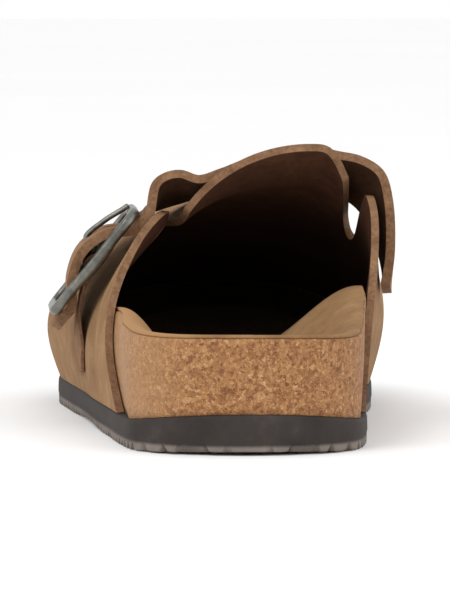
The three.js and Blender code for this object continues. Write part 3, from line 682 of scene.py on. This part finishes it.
def painted_shade_and_pale_wing_tip(finish, tone):
    """Inner face of the upper: painted shade that turns it near black to the toe, and a pale pinkish patch
    at the outer wing's tip.
    """
    # Painted shade: near black towards the toe and low down, where the inside of the upper lies in shadow.
    shaded = finish.level("Y").step(56, 100) * (1 - finish.level("Z").step(52, 74))
    tone = finish.blend(shaded * 0.9, tone, colour("#0b0806"))
    return finish.blend(finish.near(WING_TIP, 9) * 0.95, tone, colour("#b58f72"))


def cut_edge(name, dark, light):
    """Cut and dyed edge of leather: pressed layers with small pits."""
    finish = Finish(name, {"Specular IOR Level": 0.25})
    layer = finish.noise(1.1, 3, 0.65)
    patch_mask = finish.noise(9, 3, 0.6)
    tone = finish.ramp(layer * 0.5 + patch_mask * 0.5, [(0.36, dark), (0.64, light)])
    finish.wear("Base Color", tone)
    finish.wear("Roughness", 0.74 + layer * 0.18)
    finish.wear("Normal", finish.relief(layer, 0.5, 0.6))
    return finish.material


def cork(name):
    """Pressed cork: small uneven grains, dark bark specks, pale ones and a thin clear seal."""
    finish = Finish(name, {"Coat Roughness": 0.45, "Specular IOR Level": 0.3})
    place = finish.wobble(0.8, 1.1)
    grain = finish.red(finish.grains(1.15, "Color", place))
    fine = finish.red(finish.grains(0.6, "Color", place))
    seams = finish.grains(1.15, "Distance", place, "DISTANCE_TO_EDGE").step(0.0, 0.2)
    patches = finish.noise(12, 4, 0.6)
    powder = finish.noise(0.5, 3, 0.75)
    tones = [(0.2, "#6f4122"), (0.36, "#8d5f38"), (0.5, "#a17046"), (0.66, "#b0804f"), (0.82, "#c69a6e")]
    tone = finish.ramp(grain * 0.4 + fine * 0.35 + powder * 0.25, tones)
    worn = 1 - finish.level("X").step(-34, -14)
    tone = finish.blend(worn * (0.3 + patches * 0.5), tone, colour("#b58c62"))
    bark = finish.noise(0.9, 3, 0.75).step(0.58, 0.66)
    tone = finish.blend(bark * 0.6, tone, colour("#6a3e20"))
    pale = finish.noise(1.2, 2, 0.7).step(0.62, 0.7)
    tone = finish.blend(pale * 0.45, tone, colour("#d0a77c"))
    tone = finish.blend((1 - seams) * 0.16, tone, colour("#74492a"))
    finish.wear("Base Color", tone)
    finish.wear("Roughness", 0.66 + fine * 0.2)
    finish.wear("Coat Weight", 0.06 + patches * 0.1)
    pressed = finish.relief(seams * 0.4 + fine * 0.6, 0.35, 0.5)
    finish.wear("Normal", finish.relief(powder, 0.4, 0.6, pressed))
    return finish.material


def foam_rubber(name):
    """Dark foam rubber with fine pores, and a paler band on the tread painted as light bounced up from the
    floor.
    """
    finish = Finish(name, {"Specular IOR Level": 0.3})
    bloom = finish.noise(12, 4, 0.6)
    pore = finish.noise(0.5, 2, 0.7)
    tone = finish.ramp(bloom, [(0.32, "#2a2320"), (0.6, "#38312e"), (0.78, "#484140")])
    # Painted light: the tread's lowest few millimetres are paler, standing for light bounced up from the
    # floor.
    tread = 1 - finish.level("Z").step(2.0, 3.4)
    tone = finish.blend(tread * (0.3 + bloom * 0.7), tone, colour("#8f847b"))
    finish.wear("Base Color", tone)
    finish.wear("Roughness", 0.68 + bloom * 0.2)
    finish.wear("Normal", finish.relief(pore * 0.6 + bloom * 0.4, 0.25, 0.5))
    return finish.material


def buckle_steel(name):
    """Dark grey plated steel, softly tumbled."""
    finish = Finish(name, {"Metallic": 1.0})
    brushing = finish.noise(0.7, 3, 0.6, (1, 0.12, 1))
    tarnish = finish.noise(5, 3, 0.6)
    finish.wear("Base Color", finish.ramp(tarnish, [(0.3, "#5a5b57"), (0.7, "#8d8c84")]))
    finish.wear("Roughness", 0.3 + tarnish * 0.14)
    finish.wear("Normal", finish.relief(brushing, 0.05, 0.35))
    return finish.material


WING_TIP = lifted_point(turn_at_along(0.468), -1, 48, -UPPER_WALL / 2)
UPPER_SUEDE = suede("upper_suede", "#7d5f43", "#957656", "#a98b68", "#84694a")
STRAP_SUEDE = suede("strap_suede", "#755740", "#8a6b50", "#a08062", "#7d6246")
BED_SUEDE = suede("bed_suede", "#84664a", "#987955", "#a98b67", "#826549", painted_shade_to_toe)
INNER_LEATHER = suede("inner_leather", "#462c20", "#583a29", "#6b4936", "#412a1e", painted_shade_and_pale_wing_tip)
STRAP_LINING = suede("strap_lining", "#3a271b", "#4c3424", "#5e432f", "#33221a")
SUEDE_EDGE = cut_edge("suede_edge", "#654731", "#937052")
CORK = cork("pressed_cork")
RUBBER = foam_rubber("foam_rubber")
STEEL = buckle_steel("buckle_steel")


# Pieces
INSIDE = Vector((0, 60, 22)) * MM


def make_piece(name, shell, materials, nodes, is_sheet=False, smooth=True):
    """A mesh object of the shell, dressed, riding on the shoe and standing for its nodes."""
    bmesh.ops.remove_doubles(shell, verts=shell.verts, dist=0.01 * MM)
    bmesh.ops.recalc_face_normals(shell, faces=shell.faces)
    if is_sheet:
        outwards = sum(face.normal.dot(face.calc_center_median() - INSIDE) for face in shell.faces)
        if outwards < 0:
            bmesh.ops.reverse_faces(shell, faces=shell.faces)
    for face in shell.faces:
        face.smooth = smooth
    mesh = bpy.data.meshes.new(name)
    shell.to_mesh(mesh)
    shell.free()
    for material in materials:
        mesh.materials.append(material)
    piece = bpy.data.objects.new(name, mesh)
    bpy.context.scene.collection.objects.link(piece)
    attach(piece, "root")
    if nodes:
        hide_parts(*nodes)
    return piece


def add_wall(piece, thickness, rounding):
    """A wall round a sheet: the second material faces in, the third is its cut edge."""
    wall = piece.modifiers.new("wall", "SOLIDIFY")
    wall.thickness = thickness * MM
    wall.offset = 0
    wall.use_even_offset = True
    wall.material_offset = 1
    wall.material_offset_rim = 2
    round_edges(piece, rounding, 2)


def round_edges(piece, rounding, segments, angle=40):
    edge = piece.modifiers.new("edge", "BEVEL")
    edge.width = rounding * MM
    edge.segments = segments
    edge.limit_method = "ANGLE"
    edge.angle_limit = math.radians(angle)
    edge.harden_normals = True


# Sole
def tread_groove(x, y):
    """Depth of the tread's grooves at a place under the sole."""
    zigzag = abs((x / ZIGZAG_WIDTH) % 1 * 2 - 1) * ZIGZAG_REACH
    wave = abs(((y + zigzag) / RIB_PITCH) % 1 * 2 - 1)
    return TREAD_DEPTH * smooth_step(0.5, 0.8, wave)


def build_outsole():
    def ring(distance, share, height):
        def place(turn, side):
            at = edge_point(turn, side, distance).lerp(spine_point(turn), share)
            return (at.x, at.y, height(at.x, at.y))
        return place

    def under(x, y):
        return sole_bottom(y) + tread_groove(x, y)

    def wall(rise, groove_share=0.0):
        def height(x, y):
            return sole_bottom(y) + rise + tread_groove(x, y) * groove_share
        return height

    rings = [ring(0.6, 1 - step / 40, under) for step in range(41)]
    rings.append(ring(0.3, 0, wall(0.2, 0.95)))
    rings.append(ring(0.24, 0, wall(0.6, 0.86)))
    rings.append(ring(0.22, 0, wall(1.6, 0.46)))
    rings.append(ring(0.2, 0, wall(2.5, 0.14)))
    rings.append(ring(0.2, 0, wall(3.2)))
    for share in (0.45, 0.6, 0.75, 0.88):
        bulge = 0.2 * math.sin(share * math.pi)
        rings.append(ring(
            0.2 - bulge, 0,
            lambda x, y, share=share: mix(sole_bottom(y), sole_top(y), share),
        ))
    rings.append(ring(0.3, 0, lambda x, y: sole_top(y) - 0.5))
    rings.append(ring(0.75, 0, lambda x, y: sole_top(y) - 0.1))
    rings.append(ring(1.6, 0, lambda x, y: sole_top(y)))
    rings.append(ring(0, 0.3, lambda x, y: sole_top(y)))
    rings.append(ring(0, 1, lambda x, y: sole_top(y)))
    shell = ring_loft(260, rings)
    make_piece("rubber_sole", shell, [RUBBER], ["outsole"])


# Footbed
def bed_at(y, side):
    along = along_at(y)
    rim = column_at(BED_ROWS, "along", f"rim{side}", along) * CORK_HEIGHT
    bed = column_at(BED_ROWS, "along", "bed", along) * CORK_HEIGHT
    slope = column_at(BED_ROWS, "along", f"slope{side}", along)
    return rim, bed, slope


@lru_cache(None)
def cork_side(turn, side, rise):
    """The cork's wall: free at the heel, and tucked in under the upper from just before the wing on."""
    edge = edge_point(turn, side, CORK_INSET)
    wing = column_at(WING_ROWS, "rise", f"start{side}", rise * RIM_ON_WING)
    start = mix(FOOT_MOVES_IN, RIM_MOVES_IN, rise)
    covered = smooth_step(start, wing - BEFORE_WING, along_at(edge.y))
    level = bed_at(edge.y, side)[0] * rise
    section = Section(turn, side)
    inside = section.reach(level / (section.top - section.floor))
    inwards = (section.ridge - section.foot).normalized()
    inside = inside + inwards * (UPPER_WALL / 2 + GAP * CORK_PLAY)
    return edge.lerp(inside, covered)


def bed_place(turn, side, share, rise):
    """A place on the bed, by its share of the way from the rim to the spine."""
    place = cork_side(turn, side, 1).lerp(spine_point(turn), share)
    rim, bed, slope = bed_at(place.y, side)
    level = mix(bed, rim, smooth_step(slope, RIM_FLAT, 1 - share))
    return (place.x, place.y, sole_top(place.y) + GAP + level + rise)


def build_footbed():
    def bottom(share):
        def place(turn, side):
            at = cork_side(turn, side, 0).lerp(spine_point(turn), share)
            return (at.x, at.y, sole_top(at.y) + 0.05)
        return place

    def wall(rise, inset=0.0):
        def place(turn, side):
            at = cork_side(turn, side, rise).lerp(spine_point(turn), inset)
            level = bed_at(at.y, side)[0] * rise
            return (at.x, at.y, sole_top(at.y) + GAP + level)
        return place

    def top(share):
        return lambda turn, side: bed_place(turn, side, share, 0)

    rings = [bottom(1), bottom(0.4), bottom(0.02), bottom(0)]
    rings += [wall(step / 12) for step in range(1, 12)]
    rings += [wall(0.965, 0.001), wall(0.985, 0.005), wall(0.997, 0.012)]
    rings += [top(share) for share in (0.03, 0.05, 0.08, 0.12, 0.16, 0.2)]
    rings += [top(share) for share in (0.25, 0.3, 0.36, 0.42, 0.5, 0.6, 0.7, 0.85, 1)]
    shell = ring_loft(150, rings)
    make_piece("cork_footbed", shell, [CORK], ["footbed"])


def build_insole():
    shares = [0.02, 0.026, 0.035, 0.05, 0.075, 0.1, 0.13, 0.16, 0.2]
    shares += [0.24, 0.29, 0.34, 0.4, 0.46, 0.54, 0.62, 0.72, 0.85, 1]

    def layer(share, rise):
        return lambda turn, side: bed_place(turn, side, share, rise)

    rings = [layer(share, 0.06) for share in reversed(shares)]
    rings.append(layer(0.017, INSOLE_THICKNESS * 0.5))
    rings.append(layer(0.02, INSOLE_THICKNESS * 0.85))
    rings += [layer(share, INSOLE_THICKNESS) for share in shares[1:]]
    shell = ring_loft(150, rings)
    make_piece("suede_insole", shell, [BED_SUEDE], ["insole"])


# Upper
def slit_edge(along, side, edge):
    """Angle of the slit's lower edge, on the wing, or of its upper one, on the tongue."""
    share = clamp((along - SLIT_START_SHARE) / (SLIT_END_SHARE - SLIT_START_SHARE))
    angle = column_at(SLIT_ROWS, "share", f"angle{side}", share)
    opening = column_at(SLIT_ROWS, "share", f"opening{side}", share) * math.sqrt(1 - share ** 8)
    return angle + (opening if edge == "tongue" else -opening)


def crease_depth(along, side, angle):
    """How deep the creases press the suede in at a place."""
    place = Vector((along * SOLE_LENGTH, angle))
    depth = 0.0
    for row in CREASE_ROWS:
        if row["side"] != side:
            continue
        start = Vector(row["from"])
        line = Vector(row["to"]) - start
        share = clamp((place - start).dot(line) / line.length_squared)
        away = (place - start - line * share).length / row["width"]
        fade = math.sin(math.pi * mix(0.12, 0.88, share))
        depth += row["depth"] * fade * math.exp(-away * away * 2)
    return depth


def suede_point(along, side, angle, lift):
    turn = turn_at_along(along)
    return lifted_point(turn, side, angle, lift - crease_depth(along, side, angle))


WING_COLUMNS = 64
WING_LEVELS = 56
TONGUE_COLUMNS = 50
TONGUE_LEVELS = 40
FRONT_COLUMNS = 90


def build_upper():
    shell = bmesh.new()
    middle_angle = (slit_edge(SLIT_END_SHARE, -1, "wing") + slit_edge(SLIT_END_SHARE, 1, "wing")) / 2
    for side in (-1, 1):
        def wing(across, up):
            rear = column_at(WING_ROWS, "rise", f"start{side}", up)
            along = mix(rear, SLIT_END_SHARE, across)
            flare = WING_FLARE[side] * up ** 4 * (1 - across) ** 3
            return suede_point(along, side, up * slit_edge(along, side, "wing"), flare)

        def tongue(across, up):
            rear = TONGUE_REAR_SHARE + TONGUE_CORNER * (1 - up) ** 5 / SOLE_LENGTH
            along = mix(rear, SLIT_END_SHARE, across)
            curl = TONGUE_CURL[side] * (1 - up) ** 3 * (1 - across) ** 2
            return suede_point(along, side, mix(slit_edge(along, side, "tongue"), 90, up), -curl)

        def front(across, up, is_over_slit):
            turn = mix(turn_at_along(SLIT_END_SHARE), 1, across)
            split = mix(slit_edge(SLIT_END_SHARE, side, "wing"), middle_angle, across)
            angle = mix(split, 90, up) if is_over_slit else split * up
            branch = side if across < 1 else 1
            depth = crease_depth(along_at_turn(turn), branch, angle) * (1 - across)
            return lifted_point(turn, branch, angle, -depth)

        patch(shell, WING_COLUMNS, WING_LEVELS, wing)
        patch(shell, TONGUE_COLUMNS, TONGUE_LEVELS, tongue)
        patch(shell, FRONT_COLUMNS, WING_LEVELS, lambda across, up: front(across, up, False))
        patch(shell, FRONT_COLUMNS, TONGUE_LEVELS, lambda across, up: front(across, up, True))
    materials = [UPPER_SUEDE, INNER_LEATHER, SUEDE_EDGE]
    piece = make_piece("suede_upper", shell, materials, ["upper"], is_sheet=True)
    add_wall(piece, UPPER_WALL, 0.55)


# Buckle places: down is along the frame from its middle, out is away from the foot
BUCKLE_REAR = STRAP_MIDDLE - FRAME_WIDTH / 2
BUCKLE_SEAT = lifted_point(turn_at_along(along_at(BUCKLE_REAR)), -1, BUCKLE_ANGLE, BUCKLE_STAND)


def buckle_point(down, out, y):
    turned = out + (y - BUCKLE_REAR) * math.tan(BUCKLE_YAW)
    return Vector((
        BUCKLE_SEAT.x - down * math.cos(BUCKLE_SLOPE) - turned * math.sin(BUCKLE_SLOPE),
        y,
        BUCKLE_SEAT.z - down * math.sin(BUCKLE_SLOPE) + turned * math.cos(BUCKLE_SLOPE),
    ))


RAIL_PLACE = (FRAME_LENGTH - RAIL_WIDTH) / 2
UNDER_RAIL = -(RAIL_DEPTH / 2 + 2 * GAP + STRAP_THICKNESS / 2)
EYE_RADIUS = BAR_DIAMETER / 2 + GAP + PRONG_DIAMETER / 2
OVER_BAR = EYE_RADIUS + PRONG_DIAMETER / 2 + GAP + STRAP_THICKNESS / 2


# Strap
def strap_path(y):
    """From the sewn end on the inner wing over the instep and through the buckle."""
    turn = turn_at_along(along_at(y))
    seat = UPPER_WALL / 2 + GAP + STRAP_THICKNESS / 2
    across = (y - STRAP_MIDDLE) / STRAP_WIDTH + 0.5
    places = []
    for row in STRAP_ROWS:
        lift = BUCKLE_STAND * mix(row["rear"], row["front"], across)
        places.append(lifted_point(turn, row["side"], row["angle"], seat + lift))
    places += [
        buckle_point(row["place"] * RAIL_PLACE, mix(UNDER_RAIL, OVER_BAR, row["rise"]), y)
        for row in RUN_ROWS
    ]
    return Path(places)


def bend_band(name, path_at, band, cut, materials, node):
    """A flat strap whose long lines each follow a path of their own, with places cut out of it."""
    columns, rows = band["steps"]
    lines = {}

    def line_at(across):
        key = round(across * 1000)
        if key not in lines:
            lines[key] = path_at(band["middle"] + band["width"] * (across - 0.5))
        return lines[key]

    shell = bmesh.new()
    bmesh.ops.create_grid(shell, x_segments=columns, y_segments=rows, size=0.5)
    cut(shell, line_at(0.5))
    for corner in shell.verts:
        along, across = corner.co.x + 0.5, corner.co.y + 0.5
        line = line_at(across)
        trim = band["end_corner"] * abs(2 * across - 1) ** 3 / line.length
        corner.co = line.at(along * (1 - trim)) * MM
    return make_piece(name, shell, materials, [node], is_sheet=True)


def punch_holes(shell, line):
    """Round holes in the strap, the first of them where the prong comes through."""
    target = buckle_point(
        PRONG_IN_HOLE["place"] * RAIL_PLACE, PRONG_IN_HOLE["rise"] * OVER_BAR, STRAP_MIDDLE
    )
    first = min((step / 800 for step in range(801)), key=lambda share: (line.at(share) - target).length)
    scale = Vector((line.length, STRAP_WIDTH))
    radius = HOLE_DIAMETER / 2
    for hole in range(HOLE_COUNT):
        middle = Vector((first - hole * HOLE_PITCH / line.length - 0.5, 0))

        def away(place):
            return Vector(((place.x - middle.x) * scale.x, (place.y - middle.y) * scale.y))

        inside = [face for face in shell.faces if away(face.calc_center_median()).length < radius]
        rim = {corner for face in inside for corner in face.verts}
        bmesh.ops.delete(shell, geom=inside, context="FACES")
        for corner in rim:
            if corner.is_valid:
                place = away(corner.co).normalized() * radius
                corner.co.x = middle.x + place.x / scale.x
                corner.co.y = middle.y + place.y / scale.y


def build_strap():
    band = {"middle": STRAP_MIDDLE, "width": STRAP_WIDTH, "steps": (240, 32), "end_corner": 6}
    materials = [STRAP_SUEDE, STRAP_LINING, SUEDE_EDGE]
    piece = bend_band("suede_strap", strap_path, band, punch_holes, materials, "strap")
    add_wall(piece, STRAP_THICKNESS, 0.5)


# Buckle
RAIL_STEP = 1.5
RAIL_SIDES = 16
RAIL_SQUARENESS = 0.6
ROUND_BAR_SIDES = 12
BAR_IN_RAIL = 0.5


def frame_outline():
    """Places round the rail's middle line with their way outwards, in the frame's own plane."""
    half_wide = (FRAME_WIDTH - RAIL_WIDTH) / 2
    corner_steps = 8
    bends = []
    for along, across, start in [(1, -1, -90), (1, 1, 0), (-1, 1, 90), (-1, -1, 180)]:
        centre = Vector((along * (RAIL_PLACE - FRAME_CORNER), across * (half_wide - FRAME_CORNER)))
        for step in range(corner_steps + 1):
            angle = math.radians(start + step * 90 / corner_steps)
            outwards = Vector((math.cos(angle), math.sin(angle)))
            bends.append((centre + outwards * FRAME_CORNER, outwards))
    outline = []
    for index, (place, outwards) in enumerate(bends):
        outline.append((place, outwards))
        after = bends[(index + 1) % len(bends)][0]
        run = (after - place).length
        if run > FRAME_CORNER:
            steps = round(run / RAIL_STEP)
            outline += [(place.lerp(after, step / steps), outwards) for step in range(1, steps)]
    return outline


def build_frame():
    frames = []
    ears = []
    half_wide = (FRAME_WIDTH - RAIL_WIDTH) / 2
    out_step = buckle_point(0, 1, STRAP_MIDDLE) - buckle_point(0, 0, STRAP_MIDDLE)
    for flat, outwards in frame_outline():
        middle = buckle_point(flat.x, 0, STRAP_MIDDLE + flat.y)
        outer = buckle_point(flat.x + outwards.x, 0, STRAP_MIDDLE + flat.y + outwards.y)
        frames.append((middle, outer - middle, out_step))
        on_side = abs(flat.y) > half_wide - 0.5
        ears.append(max(0, 1 - (flat.x / (RAIL_PLACE * EAR_REACH)) ** 2) if on_side else 0)

    def squared(share):
        return math.copysign(abs(share) ** RAIL_SQUARENESS, share)

    def section(step):
        ring = []
        for index in range(RAIL_SIDES):
            angle = (index + 0.5) / RAIL_SIDES * math.tau
            across = squared(math.cos(angle)) * RAIL_WIDTH * 0.5
            out = squared(math.sin(angle)) * RAIL_DEPTH * 0.5
            if out < 0:
                out *= 1 + ears[step] * EAR_DEPTH / (RAIL_DEPTH * 0.5)
            ring.append((across, out))
        return ring

    shell = tube(frames, section, closed=True)
    make_piece("steel_frame", shell, [STEEL], ["buckle_frame"])


def round_bar(name, places, diameter, steps, node):
    """A round bar along places, with softened ends."""
    path = Path(places)
    frames = []
    for step in range(steps + 1):
        share = step / steps
        tangent = path.tangent(clamp(share, 0.003, 0.997))
        across = tangent.orthogonal().normalized() if not frames else frames[-1][1]
        across = (across - tangent * across.dot(tangent)).normalized()
        frames.append((path.at(share), across, tangent.cross(across)))

    def section(step):
        share = step / steps
        end = min(1, min(share, 1 - share) * path.length / (diameter * 0.4))
        radius = diameter / 2 * math.sqrt(1 - (1 - end) ** 2 * 0.75)
        angles = [index / ROUND_BAR_SIDES * math.tau for index in range(ROUND_BAR_SIDES)]
        return [(radius * math.cos(angle), radius * math.sin(angle)) for angle in angles]

    shell = tube(frames, section)
    return make_piece(name, shell, [STEEL], [node])


def build_bar_and_prong():
    """The bar reaches a little into both side rails. The prong curls round it and rests on the frame."""
    half = (FRAME_WIDTH - 2 * RAIL_WIDTH) / 2 + BAR_IN_RAIL
    ends = [buckle_point(0, 0, STRAP_MIDDLE + across) for across in (-half, 0, half)]
    round_bar("steel_bar", ends, BAR_DIAMETER, 24, "buckle_bar")
    rest = RAIL_DEPTH / 2 + PRONG_DIAMETER / 2
    path = []
    for step in range(8):
        angle = math.radians(-60 + step * 26)
        path.append((EYE_RADIUS * math.cos(angle), EYE_RADIUS * math.sin(angle)))
    path += [(row["place"] * RAIL_PLACE, row["rise"] * OVER_BAR) for row in PRONG_ROWS]
    path += [(-RAIL_PLACE, rest), (-RAIL_PLACE - PRONG_TIP, rest)]
    places = [buckle_point(down, out, STRAP_MIDDLE) for down, out in path]
    round_bar("steel_prong", places, PRONG_DIAMETER, 90, "buckle_prong")


# Tab that holds the buckle
TAB_SEWN_ANGLES = (6, 9, 12)


def tab_path(y):
    """From the sewn end low on the outer side, under the strap and once round the bar."""
    turn = turn_at_along(along_at(y))
    seat = UPPER_WALL / 2 + GAP + TAB_THICKNESS / 2
    loop = BAR_DIAMETER / 2 + GAP + TAB_THICKNESS / 2
    places = [lifted_point(turn, -1, angle, seat) for angle in TAB_SEWN_ANGLES]
    under_strap = UNDER_RAIL - STRAP_THICKNESS / 2 - GAP - TAB_THICKNESS
    places.append(buckle_point(RAIL_PLACE * 0.8, under_strap, y))
    places.append(buckle_point(RAIL_PLACE * 0.35, -loop - TAB_THICKNESS / 2, y))
    for angle in (270, 225, 180, 135, 90):
        down = loop * math.cos(math.radians(angle))
        out = loop * math.sin(math.radians(angle))
        places.append(buckle_point(down, out, y))
    places.append(buckle_point(TAB_END, loop, y))
    return Path(places)


def cut_slot(shell, line):
    """The slot in the tab that lets the prong's eye sit on the bar."""
    axis = buckle_point(0, 0, STRAP_MIDDLE)

    def is_cut(face):
        place = face.calc_center_median()
        off_middle = abs(place.y) * TAB_WIDTH
        return off_middle < PRONG_SLOT / 2 and (line.at(place.x + 0.5) - axis).length < EYE_RADIUS * 1.7

    cut = [face for face in shell.faces if is_cut(face)]
    bmesh.ops.delete(shell, geom=cut, context="FACES")


def build_tab():
    band = {"middle": STRAP_MIDDLE, "width": TAB_WIDTH, "steps": (130, 18), "end_corner": 0}
    materials = [STRAP_SUEDE, STRAP_LINING, SUEDE_EDGE]
    piece = bend_band("suede_tab", tab_path, band, cut_slot, materials, "buckle_tab")
    add_wall(piece, TAB_THICKNESS, 0.3)


# Stage, light and camera
def build_stage():
    floor_size = 6.0
    shell = bmesh.new()
    bmesh.ops.create_grid(shell, x_segments=4, y_segments=4, size=floor_size)
    mesh = bpy.data.meshes.new("floor")
    shell.to_mesh(mesh)
    shell.free()
    finish = Finish("pale_floor", {"Roughness": 0.9, "Specular IOR Level": 0.1})
    shade = finish.ramp(finish.noise(400, 2), [(0.3, "#fafafa"), (0.7, "#fcfcfc")])
    finish.wear("Base Color", shade)
    mesh.materials.append(finish.material)
    floor = bpy.data.objects.new("floor", mesh)
    bpy.context.scene.collection.objects.link(floor)


def add_lamp(name, place, aim, size, watts):
    lamp = bpy.data.lights.new(name, "AREA")
    lamp.shape = "DISK"
    lamp.size = size
    lamp.energy = watts
    holder = bpy.data.objects.new(name, lamp)
    holder.location = place
    holder.rotation_euler = (Vector(aim) - Vector(place)).to_track_quat("-Z", "Y").to_euler()
    bpy.context.scene.collection.objects.link(holder)


def build_light():
    world = bpy.data.worlds.new("soft_white")
    world.use_nodes = True
    background = world.node_tree.nodes["Background"]
    background.inputs["Color"].default_value = (1, 1, 1, 1)
    background.inputs["Strength"].default_value = 1.0
    bpy.context.scene.world = world
    bpy.context.scene.view_settings.view_transform = "Standard"
    add_lamp("key", (-0.9, -1.1, 1.5), (0, 0, 0.04), 1.1, 11)
    add_lamp("fill", (1.2, -1.3, 0.9), (0, 0, 0.04), 1.4, 4)


CAMERA_DISTANCE = 2.0
CAMERA_RISE = math.radians(5)
CAMERA_TURN = math.radians(2.4)
CAMERA_LENS = 400
HEEL_ON_FLOOR = Vector((-1.5, -45, 0)) * MM
AIM = Vector((-7.1, -45, 47)) * MM


def build_camera():
    """The line of sight to the heel on the floor has the photo's rise and turn."""
    forward = Vector((
        math.sin(CAMERA_TURN) * math.cos(CAMERA_RISE),
        math.cos(CAMERA_TURN) * math.cos(CAMERA_RISE),
        -math.sin(CAMERA_RISE),
    ))
    lens = bpy.data.cameras.new("camera")
    lens.lens = CAMERA_LENS
    lens.clip_end = 50
    camera = bpy.data.objects.new("camera", lens)
    camera.location = HEEL_ON_FLOOR - forward * CAMERA_DISTANCE
    camera.rotation_euler = (AIM - camera.location).to_track_quat("-Z", "Y").to_euler()
    bpy.context.scene.collection.objects.link(camera)
    bpy.context.scene.camera = camera


build_outsole()
build_footbed()
build_insole()
build_upper()
build_strap()
build_frame()
build_bar_and_prong()
build_tab()
build_stage()
build_light()
build_camera()
